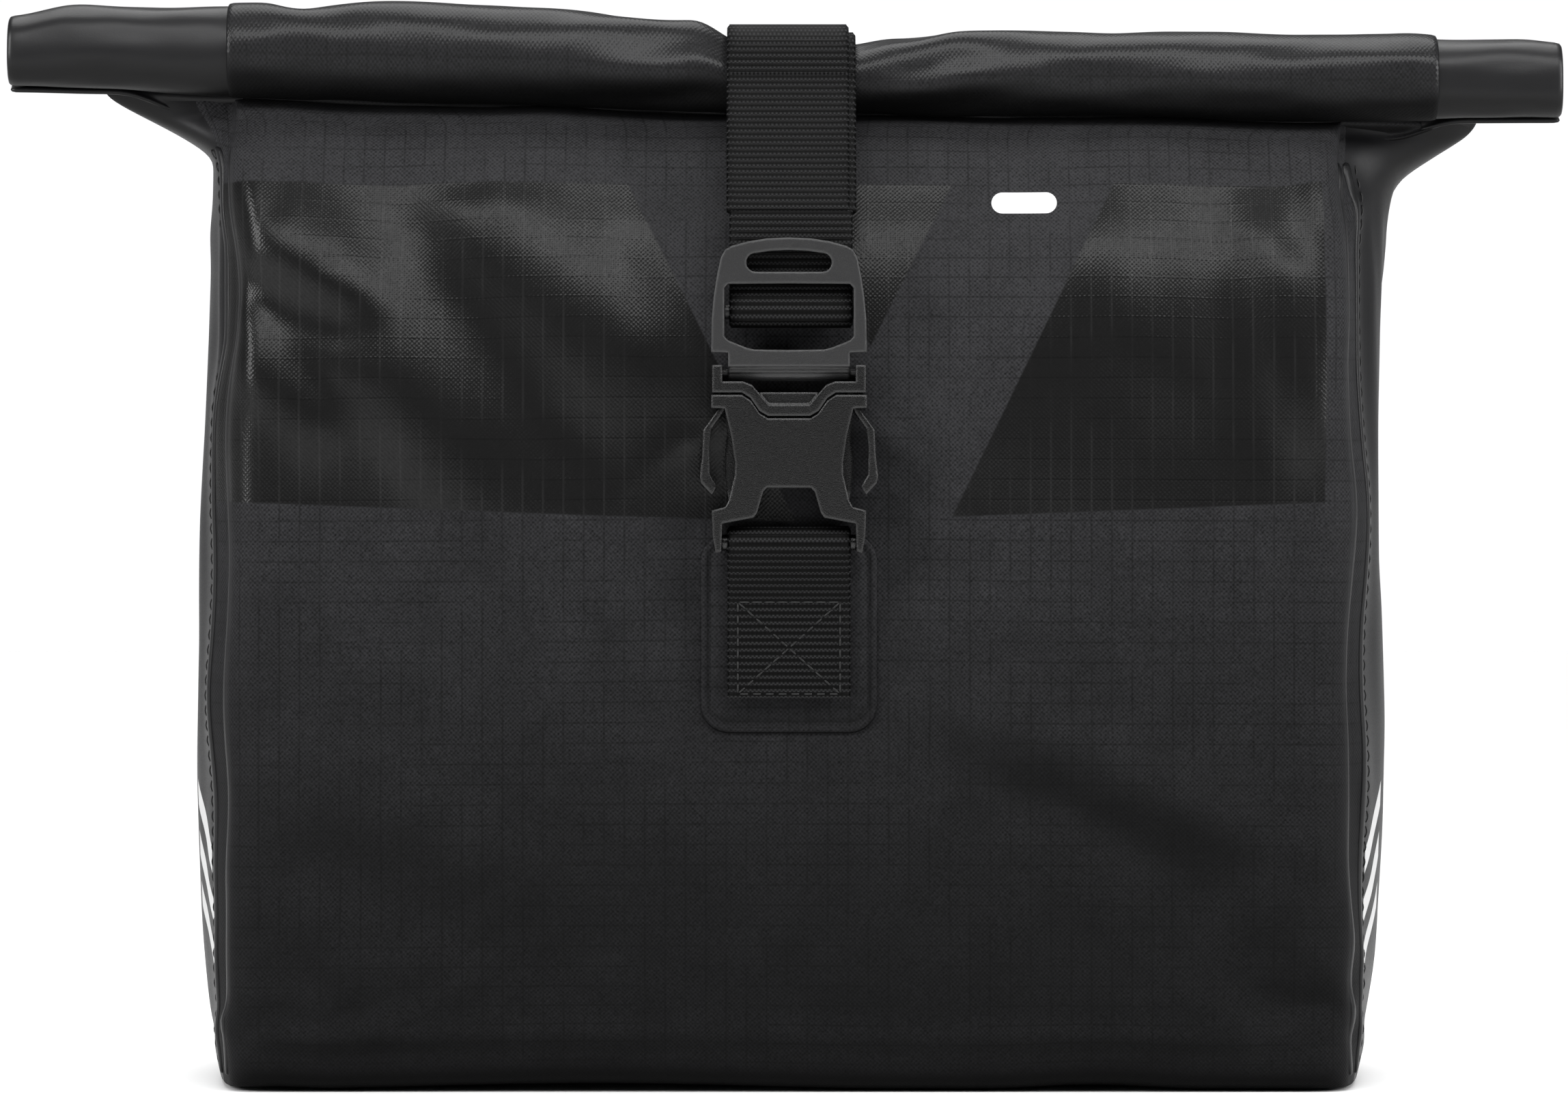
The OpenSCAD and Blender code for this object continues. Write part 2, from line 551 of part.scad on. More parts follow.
plate_y = rail_face_y + slide_gap;
slider_face_y = back_y + rail_base_t + slide_gap + jaw_t;
slider_w = 22;
bolt_r = 2.5;
disc_t = 3.5;
disc_y = slider_face_y + 0.3;
module lower_slider() color(PLASTIC) difference() {
    along_x(slider_w) jaws(lower_rail_z, lower_rail_h);
    translate([0, plate_y - 1, lower_rail_z]) rotate([-90, 0, 0]) cylinder(r = bolt_r + 0.02, h = 6);
}
anchor_z0 = lower_rail_z - 28;
anchor_h = 12;
stay_gap = 4;
anchor_y = disc_y + disc_t + stay_gap + anchor_r;
finger_t = 3.2;
disc_r = 10;
arm_half_w = 7;
module lower_hook() color(PLASTIC) difference() {
    union() {
        translate([0, disc_y, lower_rail_z]) rotate([-90, 0, 0]) cylinder(r = disc_r, h = disc_t);
        block([-arm_half_w, disc_y, anchor_z0], [arm_half_w, disc_y + disc_t, lower_rail_z]);
        block([-arm_half_w, disc_y, anchor_z0], [arm_half_w, anchor_y, anchor_z0 + anchor_h]);
        translate([0, anchor_y, anchor_z0]) cylinder(r = anchor_r + finger_t, h = anchor_h);
    }
    translate([0, anchor_y, anchor_z0 - 1]) cylinder(r = anchor_r, h = anchor_h + 2);
    block([-20, disc_y + disc_t + stay_gap, anchor_z0 - 1], [-2, anchor_y + 12, anchor_z0 + anchor_h + 1]);
    translate([0, disc_y - 1, lower_rail_z]) rotate([-90, 0, 0])
        cylinder(r = bolt_r + pin_gap, h = disc_t + 2);
}
module lower_hook_bolt() color(STEEL) translate([0, 0, lower_rail_z]) rotate([-90, 0, 0]) difference() {
    union() {
        translate([0, 0, plate_y + 0.05]) cylinder(r = bolt_r, h = disc_y + disc_t + 0.35 - plate_y);
        translate([0, 0, disc_y + disc_t + 0.3]) cylinder(r = 4.5, h = 3);
    }
    translate([0, 0, disc_y + disc_t + 1.5]) cylinder(r = 1.8, h = 3, $fn = 6);
}

main_panel();
side_gusset_left();
side_gusset_right();
gusset_fold_left();
gusset_fold_right();
roll_fabric();
roll_wing_left();
roll_wing_right();
roll_batten();
back_stiffener();
front_patch();
rear_patch();
anchor_webbing();
closure_strap();
strap_tail();
strap_front_run();
buckle_female();
buckle_male();
buckle_prong_left();
buckle_prong_right();
strap_adjuster();
upper_rail();
upper_rail_caps();
lower_rail();
lower_rail_caps();
rail_screws();
rail_nuts();
top_hook_left();
top_hook_right();
hook_insert_left();
hook_insert_right();
hook_latch_left();
hook_latch_right();
latch_pin_left();
latch_pin_right();
latch_spring_left();
latch_spring_right();
lower_slider();
lower_hook();
lower_hook_bolt();
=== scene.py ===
"""Looks of the small roll-top pannier bag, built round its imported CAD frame.

The soft parts (bag body, roll, patches and webbing) are modelled here; the buckle, rails and hooks are
the CAD nodes themselves with bevelled edges and moulded-plastic or steel finishes.
"""

import json
import math

import bmesh
import bpy
import numpy as np
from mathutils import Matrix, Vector, noise


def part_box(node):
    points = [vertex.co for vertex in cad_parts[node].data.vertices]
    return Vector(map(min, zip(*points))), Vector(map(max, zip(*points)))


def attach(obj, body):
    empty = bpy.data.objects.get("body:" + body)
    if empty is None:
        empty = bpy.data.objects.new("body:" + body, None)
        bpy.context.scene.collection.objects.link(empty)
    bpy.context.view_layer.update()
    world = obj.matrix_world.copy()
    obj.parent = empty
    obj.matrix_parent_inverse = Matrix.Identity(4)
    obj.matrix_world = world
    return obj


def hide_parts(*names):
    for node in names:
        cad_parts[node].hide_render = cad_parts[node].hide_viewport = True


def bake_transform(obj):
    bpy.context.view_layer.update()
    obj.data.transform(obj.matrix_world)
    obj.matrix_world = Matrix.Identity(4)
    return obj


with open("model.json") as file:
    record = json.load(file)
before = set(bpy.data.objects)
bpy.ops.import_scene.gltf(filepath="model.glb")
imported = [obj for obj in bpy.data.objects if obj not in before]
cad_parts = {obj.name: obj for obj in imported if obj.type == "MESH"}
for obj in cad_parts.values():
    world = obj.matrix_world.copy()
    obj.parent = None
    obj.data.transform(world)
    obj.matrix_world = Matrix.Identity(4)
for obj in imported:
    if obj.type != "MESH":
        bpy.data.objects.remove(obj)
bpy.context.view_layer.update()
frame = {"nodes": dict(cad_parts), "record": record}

# Lengths in this script are in millimetres; MM turns them into Blender's metres.
MM = 0.001


def node_box(name):
    """A CAD node's lowest and highest corners, in millimetres."""
    low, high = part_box(name)
    return np.array(low) / MM, np.array(high) / MM


panel_low, panel_high = node_box("main_panel")
roll_low, roll_high = node_box("roll_fabric")
patch_low, patch_high = node_box("front_patch")
rear_low, rear_high = node_box("rear_patch")
adjuster_low = node_box("strap_adjuster")[0]

# ---- Small helpers ----


def smoothstep(x, low, high):
    """0 up to low, 1 from high on, and a smooth climb between them."""
    t = np.clip((np.asarray(x, float) - low) / (high - low), 0, 1)
    return t * t * (3 - 2 * t)


def bell(x, centre, half_width):
    """A smooth bump, 1 at the centre and 0 from half_width on."""
    t = np.clip(np.abs(np.asarray(x, float) - centre) / half_width, 0, 1)
    return (1 - t * t) ** 2


def bezier(points, t):
    """Points of the cubic curve with these four control points, at each t from 0 to 1."""
    p = [np.array(q, float) for q in points]
    t = np.asarray(t, float)[:, None]
    u = 1 - t
    return u**3 * p[0] + 3 * u * u * t * p[1] + 3 * u * t * t * p[2] + t**3 * p[3]


def arc(centre, r, start, stop, n):
    """Points of a circular arc between two angles in degrees."""
    a = np.radians(np.linspace(start, stop, n))
    return np.stack([centre[0] + r * np.cos(a), centre[1] + r * np.sin(a)], 1)


def lengths(path):
    """Distance along a path to each of its points."""
    return np.concatenate([[0], np.cumsum(np.linalg.norm(np.diff(path, axis=0), axis=1))])


def sampled(values, own, wanted):
    """Values known at the distances own, read off at the wanted distances."""
    return np.stack([np.interp(wanted, own, column) for column in values.T], 1)


def at_lengths(path, s):
    """Points of a path at the given distances along it."""
    return sampled(path, lengths(path), s)


def unit(vectors):
    return vectors / np.maximum(np.linalg.norm(vectors, axis=-1, keepdims=True), 1e-9)


def softened(path, step, reach):
    """The path resampled at an even step, with its bends rounded over about reach."""
    total = lengths(path)[-1]
    n = max(4, int(round(total / step)))
    fine = at_lengths(path, np.linspace(0, total, n + 1))
    half = int(reach / (total / n))
    if half < 1:
        return fine
    kernel = np.hanning(2 * half + 3)[1:-1]
    kernel /= kernel.sum()
    padded = np.concatenate([2 * fine[0] - fine[half:0:-1], fine, 2 * fine[-1] - fine[-2:-half - 2:-1]])
    return np.stack([np.convolve(column, kernel, "valid") for column in padded.T], 1)


def wobble(points, size, seed):
    """Smooth noise from -1 to 1 at each point, with features of about the given size."""
    offset = Vector((seed * 17.3, seed * 5.1, seed * 9.7))
    return np.array([noise.noise(Vector(p) / size + offset) for p in points])


def link_mesh(name, mesh, material):
    """A smooth-shaded object for a mesh, linked into the scene."""
    for polygon in mesh.polygons:
        polygon.use_smooth = True
    thing = bpy.data.objects.new(name, mesh)
    bpy.context.collection.objects.link(thing)
    mesh.materials.append(material)
    return thing


def mesh_object(name, points, faces, material):
    mesh = bpy.data.meshes.new(name)
    mesh.from_pydata([tuple(p) for p in np.asarray(points) * MM], [], faces)
    mesh.update()
    return link_mesh(name, mesh, material)


def set_uv(thing, name, values):
    """One UV pair per vertex, given in millimetres and stored in metres."""
    layer = thing.data.uv_layers.new(name=name)
    index = np.empty(len(thing.data.loops), np.int32)
    thing.data.loops.foreach_get("vertex_index", index)
    layer.data.foreach_set("uv", (np.asarray(values)[index] * MM).astype(np.float32).ravel())


def clean_mesh(thing, merge=0.0, outward=False):
    """Merges vertices closer than merge, and turns the faces outward if asked."""
    edit = bmesh.new()
    edit.from_mesh(thing.data)
    if merge:
        bmesh.ops.remove_doubles(edit, verts=edit.verts, dist=merge * MM)
    if outward:
        bmesh.ops.recalc_face_normals(edit, faces=edit.faces)
    edit.to_mesh(thing.data)
    edit.free()


def grid_faces(rows, columns, closed=False):
    """Quads of a grid whose points run along its rows; closed joins each row's ends."""
    last = columns if closed else columns - 1
    return [
        (i * columns + j, i * columns + (j + 1) % columns, (i + 1) * columns + (j + 1) % columns,
         (i + 1) * columns + j)
        for i in range(rows - 1) for j in range(last)
    ]


def tube_faces(rows, columns):
    """A closed grid's faces, with a cap on each end."""
    last = (rows - 1) * columns
    caps = [tuple(range(columns)), tuple(range(last, last + columns))[::-1]]
    return grid_faces(rows, columns, closed=True) + caps


def modifier(thing, kind, **settings):
    made = thing.modifiers.new(kind.title(), kind)
    for key, value in settings.items():
        setattr(made, key, value)


def subdivide(thing):
    modifier(thing, "SUBSURF", levels=1, render_levels=1)


# ---- Node graphs, written as arithmetic ----


class Field:
    """One value in a node graph."""

    def __init__(self, graph, socket):
        self.graph, self.socket = graph, socket

    def __add__(self, other):
        return self.graph.math("ADD", self, other)

    def __sub__(self, other):
        return self.graph.math("SUBTRACT", self, other)

    def __rsub__(self, other):
        return self.graph.math("SUBTRACT", other, self)

    def __mul__(self, other):
        return self.graph.math("MULTIPLY", self, other)

    __radd__ = __add__
    __rmul__ = __mul__


SHADER_INPUTS = {
    "color": "Base Color", "rough": "Roughness", "metal": "Metallic", "specular": "Specular IOR Level",
    "coat": "Coat Weight", "coat_rough": "Coat Roughness", "sky": "Color", "strength": "Strength",
}


class Graph:
    """The node graph of a material or a world, which ends in its one shader."""

    def __init__(self, owner):
        owner.use_nodes = True
        self.owner, self.tree = owner, owner.node_tree
        self.shader = self.tree.nodes.get("Principled BSDF") or self.tree.nodes["Background"]

    def node(self, kind, **settings):
        made = self.tree.nodes.new(kind)
        for key, value in settings.items():
            setattr(made, key, value)
        return made

    def put(self, socket, value):
        if isinstance(value, Field):
            self.tree.links.new(value.socket, socket)
        else:
            socket.default_value = value

    def math(self, operation, *values):
        made = self.node("ShaderNodeMath", operation=operation)
        for socket, value in zip(made.inputs, values):
            self.put(socket, value)
        return Field(self, made.outputs[0])

    def step(self, value, low, high, start=0.0, stop=1.0):
        """A smooth step from start to stop as value goes from low to high."""
        made = self.node("ShaderNodeMapRange", interpolation_type="SMOOTHSTEP")
        for socket, given in zip(made.inputs, (value, low, high, start, stop)):
            self.put(socket, given)
        return Field(self, made.outputs[0])

    def below(self, value, limit, soft=0.25):
        """1 under the limit and 0 over it, with an edge 2 * soft wide."""
        return 1 - self.step(value - limit, -soft, soft)

    def above(self, value, limit, soft=0.25):
        return self.step(value - limit, -soft, soft)

    def split(self, socket):
        """The three parts of a vector."""
        made = self.node("ShaderNodeSeparateXYZ")
        self.tree.links.new(socket, made.inputs[0])
        return [Field(self, part) for part in made.outputs]

    def uv_mm(self, name):
        """The two values of a UV map, in millimetres."""
        u, v, _ = self.split(self.node("ShaderNodeUVMap", uv_map=name).outputs[0])
        return u * (1 / MM), v * (1 / MM)

    def place(self):
        """Object coordinates, which for every piece here are the row frame's, in metres."""
        return self.node("ShaderNodeTexCoord").outputs["Object"]

    def height_mm(self):
        return self.split(self.place())[2] * (1 / MM)

    def upward(self):
        """How far the surface faces up, from -1 to 1."""
        return self.split(self.node("ShaderNodeNewGeometry").outputs["Normal"])[2]

    def noise(self, size_mm, detail):
        """Noise from 0 to 1 with features of about the given size."""
        made = self.node("ShaderNodeTexNoise")
        self.tree.links.new(self.place(), made.inputs["Vector"])
        made.inputs["Scale"].default_value = 1 / (size_mm * MM)
        made.inputs["Detail"].default_value = detail
        return Field(self, made.outputs[0])

    def distance_to_lines(self, value, pitch):
        """Distance from value to the nearest multiple of pitch."""
        wrapped = self.math("WRAP", value, pitch / 2, -pitch / 2)
        return self.math("ABSOLUTE", wrapped)

    def wave(self, value, pitch):
        return self.math("SINE", value * (2 * math.pi / pitch))

    def mix(self, factor, a, b):
        made = self.node("ShaderNodeMix", data_type="RGBA")
        self.put(made.inputs["Factor"], factor)
        self.put(made.inputs["A"], a)
        self.put(made.inputs["B"], b)
        return Field(self, made.outputs["Result"])

    def bump(self, height, depth_mm, strength):
        """Bumps the surface and its coat, and gives the bump node."""
        made = self.node("ShaderNodeBump")
        self.put(made.inputs["Height"], height)
        made.inputs["Distance"].default_value = depth_mm * MM
        made.inputs["Strength"].default_value = strength
        for name in ("Normal", "Coat Normal"):
            self.tree.links.new(made.outputs[0], self.shader.inputs[name])
        return made

    def surface(self, **values):
        """Sets the shader's inputs and gives the finished material or world."""
        for key, value in values.items():
            self.put(self.shader.inputs[SHADER_INPUTS[key]], value)
        return self.owner


def material_graph(name):
    return Graph(bpy.data.materials.new(name))


def grey(level, blue=0.0):
    """A neutral colour, or one with a little more blue."""
    return (level, level, level * (1 + blue), 1.0)


# ---- Materials ----

YARN = 0.46
RIPSTOP = 4.1
PRINT_TOP, PRINT_RIGHT = 184.7, 108.3
PRINT_LOW, PRINT_LOW_RISE = 115.4, 0.042
# The print's slanting edges: x at its top, and how far x moves with each millimetre down.
PRINT_SLANTS = [(-32.7, 0.492), (-0.2, 0.497), (33.1, -0.494), (66.1, -0.488)]
MARK_X, MARK_Z = 47.8, 181.0
MARK_HALF, MARK_R = 4.4, 2.2


def print_mask(g):
    """Where the glossy print lies on the front, left clear in two slanting bands that meet in a V."""
    x, z = g.uv_mm("print")
    down = PRINT_TOP - z
    left_end, middle_start, middle_end, right_start = (top + down * slant for top, slant in PRINT_SLANTS)
    left = g.below(x, left_end)
    middle = g.above(x, middle_start) * g.below(x, middle_end)
    right = g.above(x, right_start) * g.below(x, PRINT_RIGHT)
    low_edge = PRINT_LOW + g.math("ABSOLUTE", x) * PRINT_LOW_RISE
    return g.below(z, PRINT_TOP) * g.above(z, low_edge) * g.math("MINIMUM", left + middle + right, 1.0)


def mark_mask(g):
    """A plain rounded bar, printed in light grey high on the front."""
    x, z = g.uv_mm("print")
    along = g.math("MAXIMUM", g.math("ABSOLUTE", x - MARK_X) - MARK_HALF, 0.0)
    across = g.math("ABSOLUTE", z - MARK_Z)
    return g.below(g.math("SQRT", along * along + across * across), MARK_R, 0.12)


def ripstop_lines(g, value, thickness):
    """The thicker yarn at every RIPSTOP, which fades in and out with the given noise."""
    near = 1 - g.step(g.distance_to_lines(value, RIPSTOP), 0.08, 0.3)
    return near * g.step(thickness, 0.3, 0.62)


def ripstop_material(name, printed, tone=1.0, shine=0.0):
    """Ripstop weave. The glossy print, or a plain fabric's shine, is a clear film in the coat."""
    g = material_graph(name)
    u, v = g.uv_mm("weave")
    weave = g.wave(u, 2 * YARN) * g.wave(v, 2 * YARN)
    lines_u = ripstop_lines(g, u, g.noise(13, 2))
    lines_v = ripstop_lines(g, v, g.noise(17, 2))
    lines = g.math("MAXIMUM", lines_u, lines_v)
    mottle = g.noise(9, 4)
    fine = g.noise(0.5, 2)
    # Painted shade: the colour darkens low on the bag and where the fabric faces down.
    painted_shading = (g.step(g.height_mm(), 20, 165) * 0.66 + 0.34) * (g.step(g.upward(), -0.75, 0.1) * 0.9 + 0.1)
    speckle = weave * 0.45 + (fine - 0.5) * 1.7 + 1
    color = g.mix((mottle * 0.5 + 0.5) * painted_shading * speckle, grey(0.001), grey(0.025 * tone, 0.06))
    color = g.mix(lines * 0.4, color, grey(0.003))
    relief = weave * 0.25 + fine * 0.5
    film = g.step(g.upward(), -0.6, 0.3) * shine
    if printed:
        gloss = print_mask(g)
        ink = g.mix(lines_u, g.mix(lines_v, grey(0.003), grey(0.0012)), grey(0.008))
        color = g.mix(mark_mask(g), g.mix(gloss, color, ink), grey(0.75))
        relief = relief + lines * gloss * 0.25
        film = gloss * (0.27 + (mottle - 0.5) * 0.2 + (fine - 0.5) * 0.3)
    g.bump(relief, 0.1, 0.6)
    rough = 0.6 + (fine - 0.5) * 0.25
    return g.surface(color=color, rough=rough, specular=0.05, coat=film, coat_rough=0.25)


BAR_PITCH, BAR_HALF, BAR_SLOPE = 10.5, 2.6, 0.8
BAR_START, BAR_STOP = 11, 27
BAR_LOW, BAR_HIGH = 15.5, 47.5


def bar_mask(g):
    """Slanting reflective bars low on each side gusset, rising towards the back."""
    u, v = g.uv_mm("weave")
    slant = v - (u - 2) * BAR_SLOPE
    bars = g.below(g.distance_to_lines(slant, BAR_PITCH), BAR_HALF, 0.15)
    ends = g.above(u, BAR_START, 0.1) * g.below(u, BAR_STOP, 0.1)
    return bars * ends * g.above(slant, BAR_LOW) * g.below(slant, BAR_HIGH)


def coated_material(name, barred=False, tone=1.0, shine=0.0):
    """Smooth coated fabric with painted shade, darker where it faces down; barred adds the reflective bars.
    """
    g = material_graph(name)
    grain = g.noise(0.35, 3)
    mottle = g.noise(14, 4)
    # Painted shade where the fabric faces down, which also keeps the shine off down-facing parts.
    painted_shading = g.step(g.upward(), -0.6, 0.2) * 0.85 + 0.15
    color = g.mix((mottle * 0.35 + 0.65) * painted_shading, grey(0.001), grey(0.012 * tone, 0.08))
    rough = 0.45 + (grain - 0.5) * 0.2 + (mottle - 0.5) * 0.12
    if barred:
        bars = bar_mask(g)
        color = g.mix(bars, color, grey(0.5))
        rough = rough - bars * 0.1
    g.bump(grain, 0.03, 0.5)
    return g.surface(color=color, rough=rough, specular=0.13, coat=painted_shading * shine, coat_rough=0.3)


# Pitch of the webbing's ribs along it, and of its warp yarns across it.
RIB = 1.36
WARP = 0.84


def webbing_material():
    """Ribbed webbing whose warp yarns show as beads on each rib, half a yarn apart from rib to rib, with
    painted shade in the grooves between them.
    """
    g = material_graph("webbing")
    u, v = g.uv_mm("weave")
    row = g.math("FLOOR", v * (1 / RIB))
    beads = g.wave(u + row * (WARP / 2), WARP) * 0.5 + 0.5
    crest = g.step(g.wave(v + RIB / 4, RIB), -0.5, 0.9)
    fuzz = g.noise(0.22, 3)
    worn = g.noise(6, 3)
    # Painted shade: the colour goes nearly black in the grooves between the ribs and between the beads.
    yarn = crest * (beads * 0.9 + 0.1)
    color = g.mix(yarn * (fuzz * 0.6 + 0.7), grey(0.0004), grey(0.022, 0.03))
    g.bump(crest * 0.4 + yarn * 0.6 + fuzz * 0.2, 0.26, 0.85)
    return g.surface(color=color, rough=0.55 + (worn - 0.5) * 0.15, specular=0.07)


def thread_material():
    g = material_graph("sewing_thread")
    twist = g.noise(0.25, 2)
    g.bump(twist, 0.05, 0.6)
    color = g.mix(twist, grey(0.004), grey(0.012))
    return g.surface(color=color, rough=0.45 + twist * 0.1, specular=0.3)


def plastic_material(name, level, rough, grain_mm=0.26, grain_depth=0.06, ease_mm=0.9):
    """Moulded plastic with a fine grain, pale flecks, smoother scuffs and visually eased edges."""
    g = material_graph(name)
    grain = g.noise(grain_mm, 2)
    patches = g.noise(11, 4)
    scuffs = g.step(g.noise(2.4, 6), 0.62, 0.8)
    fleck = g.step(g.noise(grain_mm * 0.8, 2), 0.5, 0.72)
    color = g.mix(patches, grey(level * 0.8, 0.03), grey(level * 1.2, 0.03))
    color = g.mix(fleck * 0.6, color, grey(level + 0.012))
    eased = g.node("ShaderNodeBevel", samples=8)
    eased.inputs["Radius"].default_value = ease_mm * MM
    bump = g.bump(grain, grain_depth, 0.8)
    g.tree.links.new(eased.outputs[0], bump.inputs["Normal"])
    return g.surface(color=color, rough=rough + (grain - 0.5) * 0.2 - scuffs * 0.06, specular=0.42)


def steel_material():
    g = material_graph("zinc_plated_steel")
    brushed = g.noise(0.6, 4)
    spots = g.noise(3.5, 5)
    g.bump(brushed, 0.012, 0.5)
    color = g.mix(spots, grey(0.42, 0.02), grey(0.58, 0.02))
    return g.surface(color=color, rough=0.28 + brushed * 0.16, metal=1.0)


def floor_material():
    g = material_graph("studio_floor")
    return g.surface(color=g.mix(g.noise(60, 2), grey(0.9), grey(0.92)), rough=0.8, specular=0.1)


printed_ripstop = ripstop_material("printed_ripstop", True)
plain_ripstop = ripstop_material("plain_ripstop", False)
barred_coated = coated_material("gusset_fabric", True, 0.75)
coated = coated_material("coated_fabric", False, 0.65, 0.22)
# The roll's ripstop at half the tone of the plain one: a darker copy of the same fabric, painted shade on the
# roll.
roll_ripstop_painted_shade = ripstop_material("rolled_ripstop_painted_shade", False, 0.5, 0.27)
webbing_look = webbing_material()
thread = thread_material()
stiffener_plastic = plastic_material("stiffener_plastic", 0.05, 0.55, 0.8, 0.02, 0.3)

# ---- The roll's shape, which the neck below it and the strap over it follow ----

NECK_SETBACK = 26
CLOSED_Y = panel_low[1] + NECK_SETBACK
ROLL_Y = (roll_low[1] + roll_high[1]) / 2
ROLL_END_LEFT, ROLL_END_RIGHT = -160.0, 158.5
SEAM_LEFT, SEAM_RIGHT = roll_low[0], roll_high[0]
# The roll's outline as (x, value) stations: it slopes, and the strap draws it in at the middle.
ROLL_TOP = [
    (-160, 220.6), (-146, 223.3), (-128, 222.6), (-108, 223.0), (-98, 222.2), (-86, 223.0), (-50, 222.0),
    (-20, 219.2), (-9, 214.2), (0, 213.9), (12, 213.9), (22, 215.4), (36, 217.0), (70, 216.8), (112, 216.2),
    (126, 216.4), (134, 215.8), (150, 216.0), (158.5, 215.6),
]
ROLL_BOTTOM = [
    (-160, 202.8), (-140, 202.4), (-112, 200.6), (-60, 199.4), (-16, 198.2), (0, 197.6), (20, 197.8),
    (60, 197.0), (110, 196.2), (158.5, 196.4),
]
ROLL_HALF_DEPTH = [
    (-160, 7.6), (-140, 8.8), (-100, 9.2), (-50, 9.4), (-16, 8.6), (0, 7.4), (18, 7.9), (50, 8.6), (120, 8.8),
    (158.5, 7.8),
]


def eased(x, stations):
    """The value at x, smoothly interpolated between (x, value) stations."""
    places, values = zip(*stations)
    x = np.clip(np.asarray(x, float), places[0], places[-1])
    k = np.clip(np.searchsorted(places, x) - 1, 0, len(places) - 2)
    a, b = np.take(places, k), np.take(places, k + 1)
    t = smoothstep(x, a, b)
    return np.take(values, k) * (1 - t) + np.take(values, k + 1) * t


def roll_top(x):
    return eased(x, ROLL_TOP)


def roll_bottom(x):
    return eased(x, ROLL_BOTTOM)


def roll_half_depth(x):
    return eased(x, ROLL_HALF_DEPTH)


# ---- Bag body: one lofted shell from the base up to the neck ----

HALF_W = panel_high[0]
FRONT_Y, BACK_Y = panel_low[1], panel_high[1]
LEAN_Z = 138.0
BACK_FLAT_Z = 181.0
NECK_Z = panel_high[2]
EDGE_R = 7.0
FOOT_R = 5.0
FLAT_N, SIDE_N, CORNER_N = 76, 30, 4
UPPER_N, BASE_N = 26, 8
GRID = 3.0
BULGE = 12.0
# Each side's flare under the roll: its reach, where it starts as a share of the lean, and how pointed it is.
WING = {-1: (27.0, 0.68, 0.0), 1: (28.0, 0.42, 1.6)}
# Each corner's side, whether it is at the front, and the angle it starts at.
CORNERS = {"corner_fr": (1, True, -90), "corner_br": (1, False, 0),
           "corner_bl": (-1, False, 90), "corner_fl": (-1, True, 180)}

# The lean: the front and back of the body, as (y, z), from where they leave the upright up to the neck.
front_curve = bezier([(FRONT_Y, LEAN_Z), (FRONT_Y, 176), (FRONT_Y + 9, 193.5), (CLOSED_Y - 0.7, NECK_Z)],
                     np.linspace(0, 1, 60))
roof_curve = bezier([(BACK_Y, BACK_FLAT_Z), (BACK_Y, 191), (20, 193.5), (CLOSED_Y + 0.7, NECK_Z)],
                    np.linspace(0, 1, 80))
back_curve = np.concatenate([[(BACK_Y, LEAN_Z), (BACK_Y, 160.0)], roof_curve])


def levels():
    """Front and back points of each level of the loft, with its share of the way up the lean."""
    foot = [(FRONT_Y + FOOT_R - p[0], BACK_Y - FOOT_R + p[0], p[1]) for p in
            arc((0, FOOT_R), FOOT_R, -90, 0, 4)]
    lower = [(FRONT_Y, BACK_Y, z) for z in np.linspace(FOOT_R, LEAN_Z, int((LEAN_Z - FOOT_R) / GRID) + 1)[1:]]
    rows = [((f, z), (b, z), 0.0) for f, b, z in foot + lower]
    share = np.linspace(0, 1, UPPER_N + 1)[1:]
    fronts = at_lengths(front_curve, share * lengths(front_curve)[-1])
    backs = at_lengths(back_curve, share * lengths(back_curve)[-1])
    return rows + [(f, b, s) for f, b, s in zip(fronts, backs, share)]


def around():
    """The stations of one level: which stretch each lies on, and how far along it."""
    stretches = [("front", FLAT_N), ("corner_fr", CORNER_N), ("right", SIDE_N), ("corner_br", CORNER_N),
                 ("back", FLAT_N), ("corner_bl", CORNER_N), ("left", SIDE_N), ("corner_fl", CORNER_N)]
    return [(name, j / n) for name, n in stretches for j in range(n)]


def level_point(name, t, front_y, back_y, r, swell):
    """The x and y of one station; swell gives each side its reach and the power of its bulge."""
    if name in ("front", "back"):
        way, y = (1, front_y) if name == "front" else (-1, back_y)
        return way * (2 * t - 1) * (HALF_W - r), y
    if name in ("right", "left"):
        side, way = (1, t) if name == "right" else (-1, 1 - t)
        reach, power = swell[side]
        x = side * (HALF_W + reach * math.sin(math.pi * t) ** power)
        return x, front_y + r + way * (back_y - front_y - 2 * r)
    side, at_front, start = CORNERS[name]
    a = math.radians(start + 90 * t)
    y = front_y + r if at_front else back_y - r
    return side * (HALF_W - r) + r * math.cos(a), y + r * math.sin(a)


def side_swell(height, share):
    """For level_point: the gussets bulge at mid height, close at the neck, and flare under the roll."""
    rise = math.sin(math.pi * ((height + 6) / 215) ** 0.8) ** 0.6
    bulge = BULGE * rise * (1 - float(smoothstep(share, 0.7, 1)))
    sharper = float(smoothstep(share, 0.56, 0.85))
    return {side: (bulge + reach * float(smoothstep(share, start, 1.0)), 0.75 + pointed * sharper)
            for side, (reach, start, pointed) in WING.items()}


def loft():
    """Rest points of the whole shell, by level and station, and the stations."""
    stations = around()
    rows = []
    for front, back, share in levels():
        depth = back[0] - front[0]
        r = min(EDGE_R, 0.3 * depth)
        swell = side_swell((front[1] + back[1]) / 2, share)
        row = []
        for name, t in stations:
            x, y = level_point(name, t, front[0], back[0], r, swell)
            z = front[1] + (back[1] - front[1]) * (y - front[0]) / max(depth, 1e-6)
            z += float(roll_bottom(x) - NECK_Z - 0.5) * share**2.2 + 2.2 * share**6
            row.append((x, y, z))
        rows.append(row)
    return np.array(rows), stations


